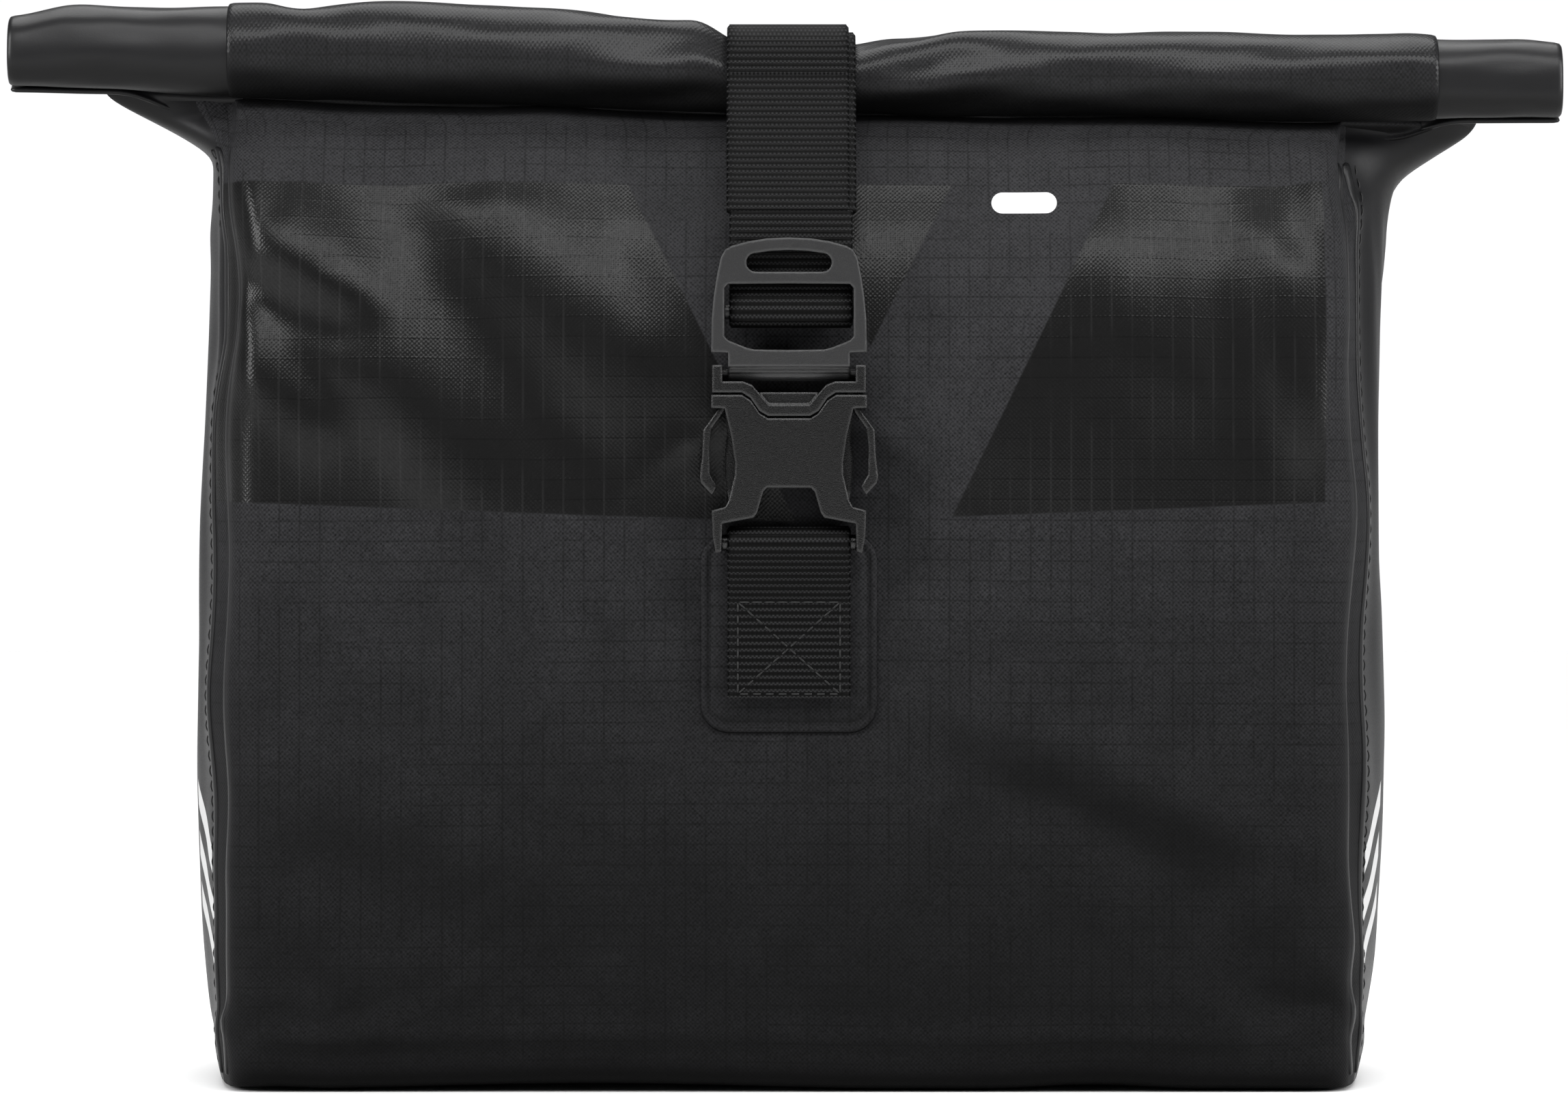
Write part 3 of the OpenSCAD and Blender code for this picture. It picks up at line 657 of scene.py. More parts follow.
def ridge(x, z, start, end, width, height):
    """A soft fold from start to end, each (x, z): a ridge, or a valley where height is negative."""
    along = np.array(end, float) - start
    length2 = along @ along
    t = ((x - start[0]) * along[0] + (z - start[1]) * along[1]) / length2
    away = ((x - start[0]) * -along[1] + (z - start[1]) * along[0]) / math.sqrt(length2)
    fade = smoothstep(t, -0.15, 0.2) * (1 - smoothstep(t, 0.75, 1.2))
    return height * bell(away, 0, width) * fade


# The front's folds: start, end, half width and height of each.
FRONT_FOLDS = [
    ((-108, 182), (-62, 118), 13, 2.6),
    ((-88, 186), (-34, 120), 12, -2.4),
    ((-66, 186), (-22, 140), 13, 1.6),
    ((-114, 166), (-84, 152), 8, -2.8),
    ((-112, 150), (-92, 132), 9, 1.8),
    ((-104, 128), (-60, 92), 20, -1.2),
    ((98, 184), (104, 132), 9, 1.7),
    ((84, 182), (94, 128), 9, -1.5),
    ((60, 178), (76, 140), 12, 1.2),
    ((106, 128), (100, 84), 10, -1.4),
    ((108, 66), (98, 34), 11, 1.6),
    ((74, 40), (104, 14), 12, -1.5),
    ((-100, 40), (-70, 12), 16, 1.2),
    ((-30, 176), (-24, 128), 10, -1.2),
    ((34, 128), (66, 100), 16, -0.9),
    ((-24, 70), (-64, 30), 22, 1.1),
    ((30, 82), (88, 54), 14, 3.0),
    ((46, 64), (96, 38), 14, -2.4),
    ((-104, 66), (-56, 42), 15, 2.2),
    ((-96, 52), (-44, 30), 15, -1.6),
    ((105, 194), (111, 172), 5, 1.8),
    ((111, 176), (112, 142), 5, 1.3),
    ((96, 190), (103, 170), 6, -1.6),
]


def patch_shelter(x, z):
    """0 where the front patch and buckle keep the fabric flat, 1 away from them."""
    return 1 - (1 - smoothstep(np.abs(x), 16, 34)) * smoothstep(z, 58, 74) * (1 - smoothstep(z, 118, 140))


def front_relief(x, z):
    """How far the front stands out: its folds, on a soft crown."""
    folds = sum(ridge(x, z, *fold) for fold in FRONT_FOLDS)
    across = np.cos(np.clip(x / HALF_W, -1, 1) * math.pi / 2) ** 0.8
    crown = 3.2 * across * np.sin(np.clip(z / 175, 0, 1) * math.pi) ** 0.8
    return (folds + crown) * patch_shelter(x, z)


def side_relief(y, z, side):
    """Gusset dents: drawn in near the top, rippled along the front seam and hollow in the middle."""
    right = side > 0
    pinch = (-3.0 if right else -1.2) * bell(y, -22, 30) * bell(z, 186, 12)
    dent = -2.0 * bell(y, -40, 20) * bell(z, 175 if right else 160, 22)
    ripple = 1.1 * np.sin(z / 9.0 + side) * bell(y, -44, 16) * smoothstep(z, 40, 80)
    hollow = -1.8 * bell(y, 0, 46) * bell(z, 120, 60)
    shoulder = 3.8 * bell(y, 0, 60) * bell(z, 176, 20) * right
    return pinch + dent + ripple + hollow + shoulder


def seam_relief(stations):
    """A groove at each edge of the gussets' stretches, with a slight swell beside it."""
    relief = []
    for name, t in stations:
        groove = t == 0 and name in ("right", "left", "corner_br", "corner_fl")
        swell = name in ("right", "left") and round(t * SIDE_N) in (1, SIDE_N - 1)
        relief.append(-0.55 * groove + 0.2 * swell)
    return np.array(relief)


def body_relief(rest, stations, normals):
    """The rest points moved along their normals by the folds of the fabric."""
    points = rest.reshape(-1, 3)
    x, y, z = points.T
    n = normals.reshape(-1, 3)
    on_back = np.array([name == "back" for name, _ in stations] * len(rest))
    shelter = patch_shelter(x, z)
    lifted = smoothstep(z, 0, 12)
    edge_fade = 1 - 0.6 * smoothstep(np.abs(x), HALF_W - 5, HALF_W + 2)
    facing = np.clip(-n[:, 1], 0, 1) * edge_fade * (1 - smoothstep(z, 188, 197))
    amount = front_relief(x, z) * facing * lifted
    sideways = np.abs(n[:, 0]) * smoothstep(np.abs(x), 100, 113) * (1 - smoothstep(z, 190, 197))
    amount += np.where(x > 0, side_relief(y, z, 1), side_relief(y, z, -1)) * sideways * lifted
    amount += wobble(points, 38, 1) * 1.1 * smoothstep(z, 0, 14) * (1 - 0.7 * on_back) * shelter
    amount += wobble(points, 15, 2) * 0.35 * smoothstep(z, 2, 20) * shelter * ~on_back
    amount += np.tile(seam_relief(stations), len(rest)) * smoothstep(z, 3, 12)
    roof = np.clip(n[:, 2], 0, 1) * bell(y, 18, 60) * (1 - smoothstep(np.abs(x), 90, 112))
    amount -= 2.2 * roof * (0.6 + 0.4 * np.cos(x / 26))
    return (points + n * amount[:, None]).reshape(rest.shape)


def grid_normals(points):
    """Outward normals of a closed ring of grid rows."""
    along = np.roll(points, -1, 1) - np.roll(points, 1, 1)
    return unit(np.cross(along, np.gradient(points, axis=0)))


# Stations of each gusset's stretch that belong to the panel, which wraps round the bag's front edges.
WRAP_N = 2
CLOTH_STEPS = 22
CLOTH_REACH = 3.5
CLOTH = {
    "vertex_group_mass": "held", "quality": 6, "mass": 0.12, "tension_stiffness": 12,
    "compression_stiffness": 12, "shear_stiffness": 4, "bending_stiffness": 0.35, "use_pressure": True,
    "uniform_pressure_force": 0.35,
}
# A place on the print's map where nothing is printed.
OFF_PRINT = (0, -400)


def base_rows(foot):
    """Rows that close the base, from its middle out to the foot row, just above the floor."""
    rows = []
    for k in range(BASE_N, 0, -1):
        f = k / BASE_N
        row = foot * [1 - 0.5 * f, 1 - f, 0]
        row[:, 2] = foot[:, 2] * (1 - f) + 0.15 * f
        rows.append(row)
    return rows


def foot_wave(x):
    """How far the front hem stands off the floor between the places where it rests."""
    return 0.25 + 1.2 * bell(x, -40, 62) + 0.9 * bell(x, 62, 22) + 0.5 * bell(x, -105, 12)


def piece_of_shell(name, points, faces, weave, front_print, material):
    """One fabric piece cut out of the shell, with only its own vertices."""
    used = sorted({v for f in faces for v in f})
    new = {v: k for k, v in enumerate(used)}
    piece = mesh_object(name, points[used], [tuple(new[v] for v in f) for f in faces], material)
    set_uv(piece, "weave", weave[used])
    set_uv(piece, "print", front_print[used])
    clean_mesh(piece, merge=0.02)
    return piece


SEAM_HALF, SEAM_HIGH = 1.5, 0.55
SEAM_SECTION = [(-SEAM_HALF, -0.5), (-SEAM_HALF * 0.8, SEAM_HIGH * 0.6), (-SEAM_HALF * 0.3, SEAM_HIGH),
                (SEAM_HALF * 0.3, SEAM_HIGH), (SEAM_HALF * 0.8, SEAM_HIGH * 0.6), (SEAM_HALF, -0.5)]
STITCH_ASIDE, STITCH_PITCH, STITCH_LENGTH = 2.6, 3.1, 2.3


def seam_ridge(name, line, outward, across, stitched):
    """A low welded ridge along a line of the shell, with a row of stitches beside it where it is sewn."""
    points = [p + a * aside + o * up for p, o, a in zip(line, outward, across) for aside, up in SEAM_SECTION]
    ridge_piece = mesh_object(name, points, tube_faces(len(line), len(SEAM_SECTION)), coated)
    clean_mesh(ridge_piece, outward=True)
    subdivide(ridge_piece)
    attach(ridge_piece, "bag")
    if not stitched:
        return
    edit = bmesh.new()
    s = lengths(line)
    path = line + across * STITCH_ASIDE + outward * 0.15
    for distance in np.arange(2.0, s[-1] - 3.0, STITCH_PITCH):
        ends = sampled(path, s, [distance, distance + STITCH_LENGTH])
        lift = sampled(outward, s, [distance + 1.1])[0]
        thread_stitch(edit, ends[0], ends[1], lift)
    finish_stitches(edit, name + "_stitching")


def thread_stitch(edit, start, end, lift, r=0.17):
    """One thread stitch from start to end, its middle raised along lift."""
    steps, sides = 4, 6
    side = np.cross(unit(end - start), lift)
    rings = []
    for k in range(steps + 1):
        t = k / steps
        p = start + (end - start) * t + lift * (-0.12 + 0.3 * math.sin(math.pi * t))
        turns = [2 * math.pi * q / sides for q in range(sides)]
        ring = [Vector(p + side * r * math.cos(a) + lift * r * math.sin(a)) * MM for a in turns]
        rings.append([edit.verts.new(point) for point in ring])
    for a, b in zip(rings, rings[1:]):
        for q in range(sides):
            edit.faces.new((a[q], a[(q + 1) % sides], b[(q + 1) % sides], b[q]))
    edit.faces.new(rings[0][::-1])
    edit.faces.new(rings[-1])


def finish_stitches(edit, name):
    """Makes one sewn piece of the stitches gathered in edit."""
    bmesh.ops.recalc_face_normals(edit, faces=edit.faces)
    mesh = bpy.data.meshes.new(name)
    edit.to_mesh(mesh)
    edit.free()
    sewn = link_mesh(name, mesh, thread)
    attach(sewn, "bag")


def make_seams(shaped, names):
    """Ridges where the panel meets each gusset, and along its two folded front edges."""
    normals = grid_normals(shaped)
    level = slice(2, -6)
    right, left = names.index("right"), names.index("corner_fl")
    # Each ridge's column, the way to its stitches, and whether it has any.
    ridges = {
        "seam_right_front": (right + WRAP_N, 1, True),
        "seam_right_back": (names.index("corner_br"), -1, False),
        "seam_left_back": (names.index("left"), 1, False),
        "seam_left_front": (left - WRAP_N, -1, True),
        "panel_edge_right": (right, 1, False),
        "panel_edge_left": (left, -1, False),
    }
    for name, (column, step, sewn) in ridges.items():
        line, outward = shaped[level, column], normals[level, column]
        toward = shaped[level, column + step] - line
        toward -= outward * np.sum(toward * outward, 1, keepdims=True)
        seam_ridge(name, line, outward, unit(toward), sewn)


def settled(points, columns):
    """The shell after a short cloth simulation: it slackens and creases between the parts that hold it.

    The base, the neck, the stiffened back and the front patch hold it, and the front is held a little
    everywhere. No point moves past CLOTH_REACH, and moves that draw the sides in are damped.
    """
    faces = grid_faces(len(points) // columns, columns, closed=True)
    body = mesh_object("cloth_shell", points, faces, coated)
    x, y, z = points.T
    on_front = y < FRONT_Y + 6
    held = np.maximum.reduce([
        1 - smoothstep(z, 3, 12), smoothstep(z, 186, 192), smoothstep(y, 44, 52) * (z < 184),
        (1 - patch_shelter(x, z)) * on_front, 0.25 * on_front,
    ])
    group = body.vertex_groups.new(name="held")
    for k in np.nonzero(held > 0.02)[0]:
        group.add([int(k)], float(held[k]), "REPLACE")
    cloth = body.modifiers.new("Cloth", "CLOTH").settings
    for key, value in CLOTH.items():
        setattr(cloth, key, value)
    scene = bpy.context.scene
    for step in range(1, CLOTH_STEPS + 1):
        scene.frame_set(step)
    evaluated = body.evaluated_get(bpy.context.evaluated_depsgraph_get()).to_mesh()
    moved = np.empty(len(points) * 3)
    evaluated.vertices.foreach_get("co", moved)
    scene.frame_set(1)
    bpy.data.objects.remove(body)
    shift = moved.reshape(-1, 3) / MM - points
    shift[:, 0] *= np.where(shift[:, 0] * np.sign(x) < 0, 0.25, 1.0)
    size = np.linalg.norm(shift, axis=1, keepdims=True)
    return points + shift * np.minimum(1, CLOTH_REACH / np.maximum(size, 1e-9))


def fabric_maps(rest, names, wrap_right, wrap_left):
    """Each point's place on the panel's weave, on the gussets' weave and on the front's print."""
    rows, columns = rest.shape[:2]
    measured = rest[BASE_N + 20]
    around_mm = lengths(measured)
    girth = around_mm[-1] + np.linalg.norm(measured[0] - measured[-1])
    start = {name: around_mm[list(names).index(name)] for name in set(names)}
    panel_u = around_mm - girth * wrap_left
    gusset_u = np.where(names == "right", around_mm - start["right"], start["corner_fl"] - around_mm)
    gusset_u[names == "corner_br"] = start["corner_br"] - start["right"]
    gusset_u[names == "corner_fl"] = 0
    climbs = np.cumsum(np.linalg.norm(np.diff(rest, axis=0), axis=2), axis=0)
    up = np.concatenate([np.zeros((1, columns)), climbs])
    v = up - up[BASE_N] + rest[BASE_N, :, 2]
    panel, gusset = (np.stack([np.tile(u, (rows, 1)), v], 2).reshape(-1, 2) for u in (panel_u, gusset_u))
    on_front = wrap_right | wrap_left | np.isin(names, ["front", "corner_fr"])
    printed = rest[:, :, [0, 2]]
    printed[:, ~on_front] = OFF_PRINT
    return panel, gusset, printed.reshape(-1, 2)


def make_body():
    rest, stations = loft()
    shaped = body_relief(rest, stations, grid_normals(rest))
    shaped = settled(shaped.reshape(-1, 3), len(stations)).reshape(shaped.shape)
    x, y, z = np.moveaxis(rest, 2, 0)
    hem = foot_wave(x) * (1 - smoothstep(z, 2, 26)) * (1 - smoothstep(y, -52, 20))
    shaped[:, :, 2] = np.maximum(shaped[:, :, 2] + hem, 0.1)
    rest = np.concatenate([base_rows(rest[0]), rest])
    points = np.concatenate([base_rows(shaped[0]), shaped])
    names = np.array([name for name, _ in stations])
    step = np.array([round(t * SIDE_N) for _, t in stations])
    wrap_right = (names == "right") & (step <= WRAP_N)
    wrap_left = (names == "corner_fl") | (names == "left") & (step >= SIDE_N - WRAP_N)
    panel_weave, gusset_weave, printed = fabric_maps(rest, names, wrap_right, wrap_left)
    in_right = (names == "right") & (step >= WRAP_N)
    in_left = (names == "left") & (step < SIDE_N - WRAP_N)
    faces = grid_faces(*points.shape[:2], closed=True)

    def cut(name, wanted, weave, material):
        own = [face for k, face in enumerate(faces) if wanted[k % len(names)]]
        piece = piece_of_shell(name, points.reshape(-1, 3), own, weave, printed, material)
        subdivide(piece)
        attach(piece, "bag")
        return piece

    body = cut("bag_panel", ~(in_right | in_left), panel_weave, printed_ripstop)
    right = cut("bag_gusset_right", in_right, gusset_weave, barred_coated)
    left = cut("bag_gusset_left", in_left, gusset_weave, barred_coated)
    make_seams(shaped, list(names))
    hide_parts("main_panel")
    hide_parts("side_gusset_right", "gusset_fold_right")
    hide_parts("side_gusset_left", "gusset_fold_left")


# ---- The roll: the neck's fabric wound round the batten ----

SHEET_T = 1.1
TURNS, TURN_PITCH = 1.9, 1.75
ROLL_START, ROLL_STEP = -58, 9
NECK_POINTS = 3


def roll_profile(x, thinner):
    """The (y, z) outline of the wound sheet at one x, from the neck up and round, and its angles."""
    top, bottom = float(roll_top(x)) - thinner, float(roll_bottom(x)) + thinner * 0.4
    a, b = float(roll_half_depth(x)) - thinner, (top - bottom) / 2
    centre = (top + bottom) / 2
    angle = np.radians(np.arange(ROLL_START, ROLL_START + 360 * TURNS + 1, ROLL_STEP))
    inward = TURN_PITCH * (angle - angle[0]) / (2 * math.pi)
    wound = np.stack([ROLL_Y + (a - inward) * np.cos(angle), centre + (b - inward) * np.sin(angle)], 1)
    neck = np.array([(CLOSED_Y + 1.2, bottom - 2.6), (CLOSED_Y + 2.4, bottom - 1.2), wound[0] + (1.2, -0.8)])
    early = np.radians(ROLL_START - np.array([24, 16, 8]))
    tucked = np.stack([ROLL_Y + (a - 0.4) * np.cos(early), centre + (b - 0.4) * np.sin(early)], 1)
    beyond_neck = float(smoothstep(abs(x), 124, 138))
    return np.concatenate([neck + (tucked - neck) * beyond_neck, wound]), angle


def roll_relief(x, angle):
    """How far the outer turn stands out: gathers near the left seam, and creases beside the strap."""
    gather = 0.5 * bell(x, -100, 9) * np.sin(angle * 3 + 0.6)
    dip = 1.3 * bell(x, -101, 5) * bell(np.degrees(angle), 60, 70)
    pull = 0.55 * (bell(x, -24, 30) + bell(x, 30, 26)) * np.sin(angle * 5 + x / 11)
    return gather - dip + pull


def ring_noise(x, angle, along, across, shift_y, shift_z):
    """Noise round the roll at one x, stretched along it."""
    return np.array([
        noise.noise(Vector((x / along, math.cos(q) * across + shift_y, math.sin(q) * across + shift_z)))
        for q in angle
    ])


def make_roll_part(name, x0, x1, thinner, material, slot, replaced):
    """One stretch of the roll between two x, by how much it is thinner than the roll's outline."""
    rows = []
    for x in np.linspace(x0, x1, int((x1 - x0) / 2.2)):
        profile, angle = roll_profile(x, thinner)
        wrinkle = ring_noise(x, angle, 30, 1.4, 0, 3) * 0.55 + ring_noise(x, angle, 9, 2.6, 7, 0) * 0.22
        # The inner turns stay smooth.
        move = (roll_relief(x, angle) + wrinkle) * (1 - smoothstep(np.arange(len(angle)), 46, 60))
        wound = profile[NECK_POINTS:]
        wound += unit(wound - (ROLL_Y, (roll_top(x) + roll_bottom(x)) / 2)) * move[:, None]
        rows.append(np.column_stack([np.full(len(profile), x), profile]))
    points = np.array(rows)
    n, columns = points.shape[:2]
    part = mesh_object(name, points.reshape(-1, 3), grid_faces(n, columns), material)
    wound_mm = np.broadcast_to(lengths(points[n // 2]), (n, columns))
    set_uv(part, "weave", np.stack([points[:, :, 0], wound_mm], 2).reshape(-1, 2))
    modifier(part, "SOLIDIFY", thickness=SHEET_T * MM, offset=-1.0)
    subdivide(part)
    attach(part, "bag")
    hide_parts(replaced)


def make_batten():
    """The flat stiffener at the heart of the roll, which follows its slope."""
    low, high = node_box("roll_batten")
    half_t, half_h = (high[1] - low[1]) / 2, (high[2] - low[2]) / 2
    flat = half_h - half_t
    outline = np.concatenate([arc((0, flat), half_t, 0, 180, 7), arc((0, -flat), half_t, 180, 360, 7)])
    xs = np.linspace(low[0], high[0], 40)
    middle = (roll_top(xs) + roll_bottom(xs)) / 2
    points = [(x, ROLL_Y + p[0], m + p[1]) for x, m in zip(xs, middle) for p in outline]
    batten = mesh_object("roll_stiffener", points, tube_faces(len(xs), len(outline)), stiffener_plastic)
    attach(batten, "bag")
    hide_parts("roll_batten")


def make_roll():
    make_batten()
    for part in (
        ("roll_middle", SEAM_LEFT, SEAM_RIGHT, 0, roll_ripstop_painted_shade, "ripstop_fabric", "roll_fabric"),
        ("roll_end_left", ROLL_END_LEFT, SEAM_LEFT + 3, 0.7, coated, "coated_fabric", "roll_wing_left"),
        ("roll_end_right", SEAM_RIGHT - 3, ROLL_END_RIGHT, 0.9, coated, "coated_fabric", "roll_wing_right"),
    ):
        make_roll_part(*part)


# ---- Webbing ----

WEB_W, WEB_T = 25.0, 1.5
LAYER = WEB_T + 0.15
RIB_ROWS = 4
RIB_H = 0.2


def webbing(name, path, shift=0.0):
    """A ribbed strap along a (y, z) path, with rounded selvedges; shift moves it along x."""
    path = softened(np.asarray(path, float), RIB / RIB_ROWS, 1.2)
    s = lengths(path)
    tangent = unit(np.gradient(path, axis=0))
    normal = np.stack([-tangent[:, 1], tangent[:, 0]], 1)
    rib = RIB_H * (np.abs(np.sin(math.pi * s / RIB)) * 2 - 1)
    half = WEB_W / 2
    flat_x = np.linspace(-half + 0.55, half - 0.55, 12)
    selvedge = [(0.35, 0.8), (0.05, 0.4), (0.05, -0.4), (0.35, -0.8)]
    section = [(x, 1.0) for x in flat_x] + [(half - a, b) for a, b in selvedge]
    section += [(x, -1.0) for x in flat_x[::-1]] + [(a - half, -b) for a, b in selvedge]
    points = []
    for p, n, h, distance in zip(path, normal, rib, s):
        tuck = 0.12 * math.sin(math.pi * distance / RIB) ** 2
        for x, side in section:
            across = x - math.copysign(tuck, x) * (abs(x) > half - 0.5) + shift
            off = side * (WEB_T / 2 + h)
            points.append((across, p[0] + n[0] * off, p[1] + n[1] * off))
    strap = mesh_object(name, points, tube_faces(len(path), len(section)), webbing_look)
    section_x = [x for x, _ in section]
    set_uv(strap, "weave", np.stack([np.tile(section_x, len(path)), np.repeat(s, len(section))], 1))
    clean_mesh(strap, outward=True)
    return strap


BUCKLE_BACK = adjuster_low[1] + 8.2
# The adjuster's bar, and the two layers of the strap in front of the bag: the load and its free tail.
BAR_Y, BAR_Z, BAR_R = BUCKLE_BACK - 3.7, 157.6, 1.5
LOAD_Y = BUCKLE_BACK - 2.3
TAIL_Y = LOAD_Y - LAYER
# Heights where the strap's pieces meet: over the roll, front stretch, and loop round the bar.
TOP_Z, JOIN_Z, LOOP_Z = 206.5, 178.0, 163.5
LOAD_SHIFT, TAIL_SHIFT, LOOP_SHIFT = 1.2, -0.2, 0.4
ROOF_LIFT = 1.75


def over_roll(start, stop, layer, n=20):
    """Points over the roll's middle in a layer of webbing, between angles from 0 behind to 180 in front."""
    top, bottom = float(roll_top(1)), float(roll_bottom(1))
    off = WEB_T / 2 + 0.35 + layer * LAYER
    a, b = float(roll_half_depth(1)) + off, (top - bottom) / 2 + off
    return np.array([ROLL_Y, (top + bottom) / 2]) + arc((0, 0), 1, start, stop, n) * [a, b]


def roof_point(y, lift):
    """The point of the roof at y, raised by lift."""
    k = np.interp(-y, -back_curve[:, 0], np.arange(len(back_curve)))
    z = np.interp(k, np.arange(len(back_curve)), back_curve[:, 1])
    return (y, z + lift)


def roof_run(ys, lift):
    return np.array([roof_point(y, lift) for y in ys])


def front_stretch(layer, low, high=math.inf):
    """The strap's run from the roll down towards the adjuster, between two heights."""
    y = TAIL_Y if layer else LOAD_Y
    roll_end = over_roll(168, 172, layer, 2)[1]
    hanging = [(y - 0.2 + (roll_end[0] - y) * 0.12, 178.0), (y, 172.0), (y, 163.4)]
    path = softened(np.concatenate([over_roll(150, 172, layer, 6), hanging]), 0.4, 3)
    return path[(path[:, 1] <= high) & (path[:, 1] >= low)]


def make_straps():
    load_roof, tail_roof = roof_run(np.linspace(6, 38, 9), ROOF_LIFT), roof_run((5, 8, 12), ROOF_LIFT + LAYER)
    load = np.concatenate([front_stretch(0, TOP_Z - 0.3)[::-1], over_roll(146, 38, 0), load_roof])
    tail = np.concatenate([front_stretch(1, TOP_Z - 0.3)[::-1], over_roll(146, 40, 1), tail_roof])
    load_piece = webbing("strap_over_roll", load, LOAD_SHIFT)
    tail_piece = webbing("strap_tail_end", tail, TAIL_SHIFT)
    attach(load_piece, "bag")
    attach(tail_piece, "bag")
    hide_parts("closure_strap")
    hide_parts("strap_tail")
    for layer, label, shift in ((0, "load", LOAD_SHIFT), (1, "tail", TAIL_SHIFT)):
        run = webbing("strap_front_" + label, front_stretch(layer, JOIN_Z - 0.3, TOP_Z), shift)
        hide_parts("strap_front_run")
        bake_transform(run)
    round_bar = arc((BAR_Y, BAR_Z), BAR_R + 0.15 + WEB_T / 2, 9, -202, 24)
    wrap = [front_stretch(0, LOOP_Z, JOIN_Z), round_bar, front_stretch(1, LOOP_Z, JOIN_Z)[::-1]]
    loop = webbing("strap_adjuster_loop", np.concatenate(wrap), LOOP_SHIFT)
    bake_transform(loop)


FEMALE_BAR, FEMALE_BAR_R = (BUCKLE_BACK - 4.1, 111.2), 1.6
SEWN_LOW, SEWN_HIGH = 79.8, 99.6


def make_anchor():
    """The short webbing sewn to the front patch, looped round the female buckle's bar."""
    back_y = patch_low[1] - 0.1 - WEB_T / 2
    front_y = back_y - WEB_T - 0.1
    path = np.concatenate([
        [(back_y, SEWN_LOW + 2), (back_y, 101), (back_y - 0.4, 105)],
        arc(FEMALE_BAR, FEMALE_BAR_R + 0.1 + WEB_T / 2, 12, 206, 20),
        [(front_y - 2.3, 105), (front_y, SEWN_HIGH), (front_y, 90), (front_y, SEWN_LOW)],
    ])
    anchor = webbing("anchor_strap", path)
    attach(anchor, "bag")
    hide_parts("anchor_webbing")
    sew_box(front_y - WEB_T / 2)


def sew_box(y):
    """A sewn box with a cross in it, on the webbing's face at y."""
    half, low, high, pitch, gap = 10.3, SEWN_LOW + 0.9, SEWN_HIGH - 0.4, 2.3, 0.45
    corners = np.array([(-half, y, low), (half, y, low), (half, y, high), (-half, y, high)])
    edit = bmesh.new()
    for a, b in ((0, 1), (1, 2), (2, 3), (3, 0), (0, 2), (1, 3)):
        run = corners[b] - corners[a]
        count = int(np.linalg.norm(run) / pitch)
        step = run / count
        inset = unit(step) * gap / 2
        for k in range(count):
            start = corners[a] + step * k
            thread_stitch(edit, start + inset, start + step - inset, np.array([0, -1.0, 0]), r=0.2)
    finish_stitches(edit, "anchor_stitching")


# ---- Welded patches ----

PATCH_R = 5.5
OUTLINE_N = 96


def rounded_outline(half_w, low, high, r):
    """OUTLINE_N points at even steps round a rectangle with rounded corners, anticlockwise."""
    x, v0, v1 = half_w - r, low + r, high - r
    corners = [((x, v0), -90), ((x, v1), 0), ((-x, v1), 90), ((-x, v0), 180)]
    loops = [arc(centre, r, a, a + 90, 8) for centre, a in corners]
    dense = np.concatenate(loops + [loops[0][:1]])
    return at_lengths(dense, np.linspace(0, lengths(dense)[-1], OUTLINE_N + 1)[:-1])


def patch(name, half_w, low, high, surface, node, lift):
    """A welded patch with rounded corners, a pressed border and a thin edge, laid on surface(x, v, up)."""
    rings = [(0.0, -0.5), (0.0, lift * 0.7), (0.35, lift), (1.3, lift), (1.75, lift * 0.45),
             (2.3, lift * 0.95), (4.0, lift), (7.5, lift), (half_w * 0.8, lift)]
    rows, flat = [], []
    for inset, up in rings:
        inset = min(inset, half_w - 1, (high - low) / 2 - 1)
        line = rounded_outline(half_w - inset, low + inset, high - inset, max(PATCH_R - inset, 0.4))
        flat.append(line)
        rows.append([surface(x, v, up) for x, v in line])
    centre = (0.0, (low + high) / 2)
    flat.append([centre] * OUTLINE_N)
    rows.append([surface(*centre, lift)] * OUTLINE_N)
    faces = grid_faces(len(rows), OUTLINE_N, closed=True)
    piece = mesh_object(name, np.concatenate(rows), faces, plain_ripstop)
    set_uv(piece, "weave", np.concatenate(flat))
    clean_mesh(piece, merge=0.002, outward=True)
    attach(piece, "bag")
    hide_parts(node)


def make_patches():
    def on_front(x, z, up):
        return x, FRONT_Y - up, z

    def on_roof(x, y, up):
        return (x, *roof_point(y, up))

    patch("front_anchor_patch", patch_high[0], patch_low[2], patch_high[2], on_front, "front_patch", 0.85)
    patch("roof_strap_patch", rear_high[0], rear_low[1], rear_high[1], on_roof, "rear_patch", 0.9)


# ---- CAD nodes that stay: finishes and eased edges ----

# The material of each slot, and of the one node that differs from its slot.
FINISHES = {
    "buckle_plastic": plastic_material("buckle_plastic", 0.002, 0.27),
    "strap_adjuster": plastic_material("adjuster_plastic", 0.014, 0.34),
    "rail_plastic": plastic_material("rail_plastic", 0.007, 0.42, 0.5, 0.025, 0.4),
    "hook_plastic": plastic_material("hook_plastic", 0.005, 0.32, 0.45, 0.04, 0.8),
    "insert_plastic": plastic_material("insert_plastic", 0.08, 0.5, 0.4, 0.02, 0.5),
    "stiffener_plastic": stiffener_plastic,
    "steel": steel_material(),
    "ripstop_fabric": plain_ripstop, "coated_fabric": coated, "webbing": webbing_look,
}
EDGE_EASE = {
    "buckle_plastic": 0.35, "rail_plastic": 0.25, "hook_plastic": 0.5, "insert_plastic": 0.3, "steel": 0.12,
}


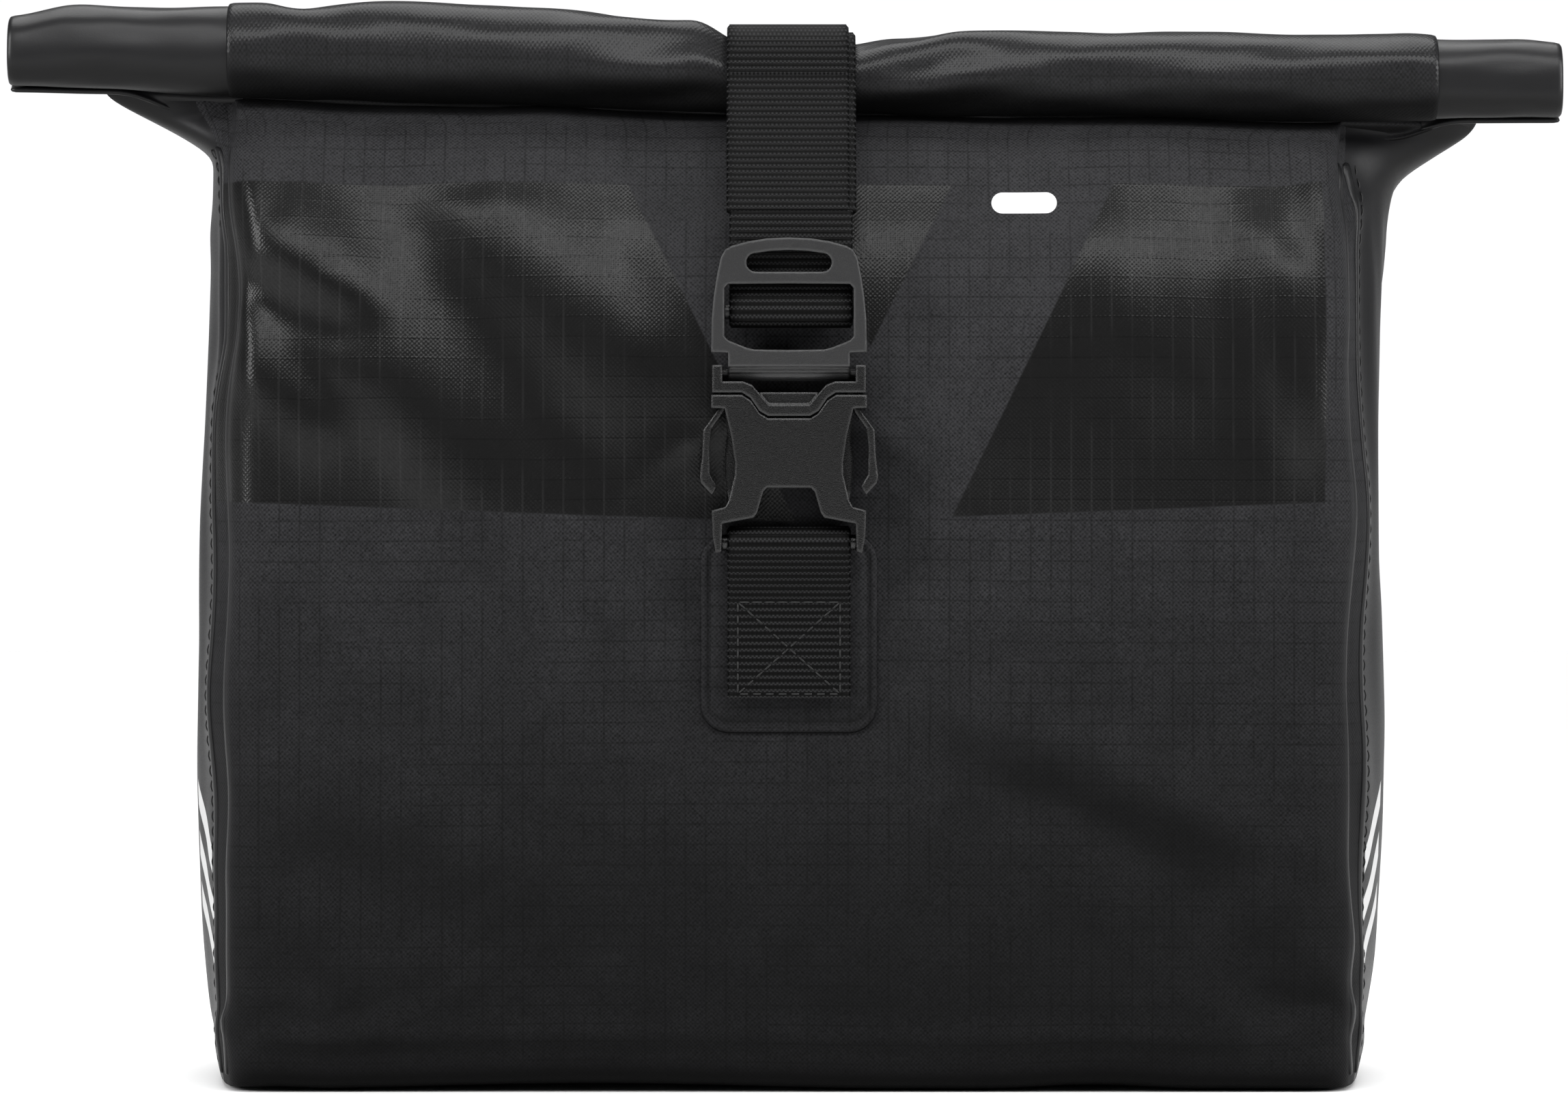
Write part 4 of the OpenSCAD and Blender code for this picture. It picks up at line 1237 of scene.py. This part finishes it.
def finish_cad_nodes():
    for entry in frame["record"]["subparts"]:
        node, slot = entry["node"], entry["material_slot"]
        thing = frame["nodes"][node]
        for holder in thing.material_slots:
            holder.material = FINISHES.get(node, FINISHES[slot])
        if slot in EDGE_EASE and not thing.hide_render and "spring" not in node:
            modifier(thing, "BEVEL", width=EDGE_EASE[slot] * MM, segments=2, limit_method="ANGLE",
                     angle_limit=math.radians(32), harden_normals=False)


# ---- Studio ----

# From here on, lengths are in metres.
CAMERA_AWAY = 1.35
CAMERA_X, CAMERA_Z = -0.001, 0.1092
VIEW_WIDTH = 0.3168
SENSOR_MM = 36.0
FLOOR = [(-6, -4, 0), (6, -4, 0), (6, 6, 0), (-6, 6, 0)]
# Each softbox: place, target, size and power.
SOFTBOXES = {
    "left_softbox": ((-0.8, -0.5, 0.46), (0, -0.03, 0.16), (0.2, 0.5), 6.2),
    "right_softbox": ((0.85, -0.4, 0.42), (0, -0.03, 0.14), (0.2, 0.5), 5.2),
    "top_softbox": ((0.05, -0.34, 0.46), (0, -0.05, 0.18), (0.7, 0.12), 2.2),
}
SUN_POWER, SUN_SPREAD, SUN_TILT = 3.1, 50, -12
# How the sky fades with direction: the axis, where the fade starts and stops, and its share at each end.
CEILING_SHARE, FRONT_SHARE, SIDE_SHARE = 0.25, 0.16, 0.5
SKY_FADES = [
    ("Z", 0.1, 0.42, 1.0, CEILING_SHARE), ("Y", -0.75, 0.1, FRONT_SHARE, 1.0),
    ("X", 0.2, 0.6, 1.0, SIDE_SHARE), ("X", -0.6, -0.2, SIDE_SHARE, 1.0),
]
SKY_COLOR = (1.02, 1.02, 1.03, 1)


def add_light(name, kind, energy, **settings):
    data = bpy.data.lights.new(name, kind)
    data.energy = energy
    for key, value in settings.items():
        setattr(data, key, value)
    light = bpy.data.objects.new(name, data)
    bpy.context.collection.objects.link(light)
    return light


def make_sky():
    """A pale wall behind the bag at eye level, dimmer before it and to its sides, under a dim ceiling.

    Seen straight, as a backdrop, it is equally pale all round.
    """
    g = Graph(bpy.data.worlds.new("studio"))
    direction = dict(zip("XYZ", g.split(g.node("ShaderNodeTexCoord").outputs["Generated"])))
    strength = 1.0
    for axis, low, high, start, stop in SKY_FADES:
        strength = g.step(direction[axis], low, high, start, stop) * strength
    seen = Field(g, g.node("ShaderNodeLightPath").outputs["Is Camera Ray"])
    bpy.context.scene.world = g.surface(sky=SKY_COLOR, strength=g.math("MAXIMUM", strength, seen))
    bpy.context.scene.view_settings.view_transform = "Standard"


def make_studio():
    floor = mesh_object("studio_floor", np.array(FLOOR) / MM, [(0, 1, 2, 3)], floor_material())
    make_sky()
    for name, (place, target, (width, height), power) in SOFTBOXES.items():
        box = add_light(name, "AREA", power, shape="RECTANGLE", size=width, size_y=height)
        box.location = place
        box.rotation_euler = (Vector(target) - Vector(place)).to_track_quat("-Z", "Y").to_euler()
    overhead = add_light("overhead_panel", "SUN", SUN_POWER, angle=math.radians(SUN_SPREAD))
    overhead.rotation_euler = (math.radians(SUN_TILT), 0, 0)
    data = bpy.data.cameras.new("camera")
    data.sensor_width = SENSOR_MM
    data.lens = SENSOR_MM * CAMERA_AWAY / VIEW_WIDTH
    camera = bpy.data.objects.new("camera", data)
    camera.location = (CAMERA_X, float(FRONT_Y) * MM - CAMERA_AWAY, CAMERA_Z)
    camera.rotation_euler = (math.radians(90), 0, 0)
    bpy.context.collection.objects.link(camera)
    bpy.context.scene.camera = camera


make_studio()
make_body()
make_roll()
make_straps()
make_anchor()
make_patches()
finish_cad_nodes()
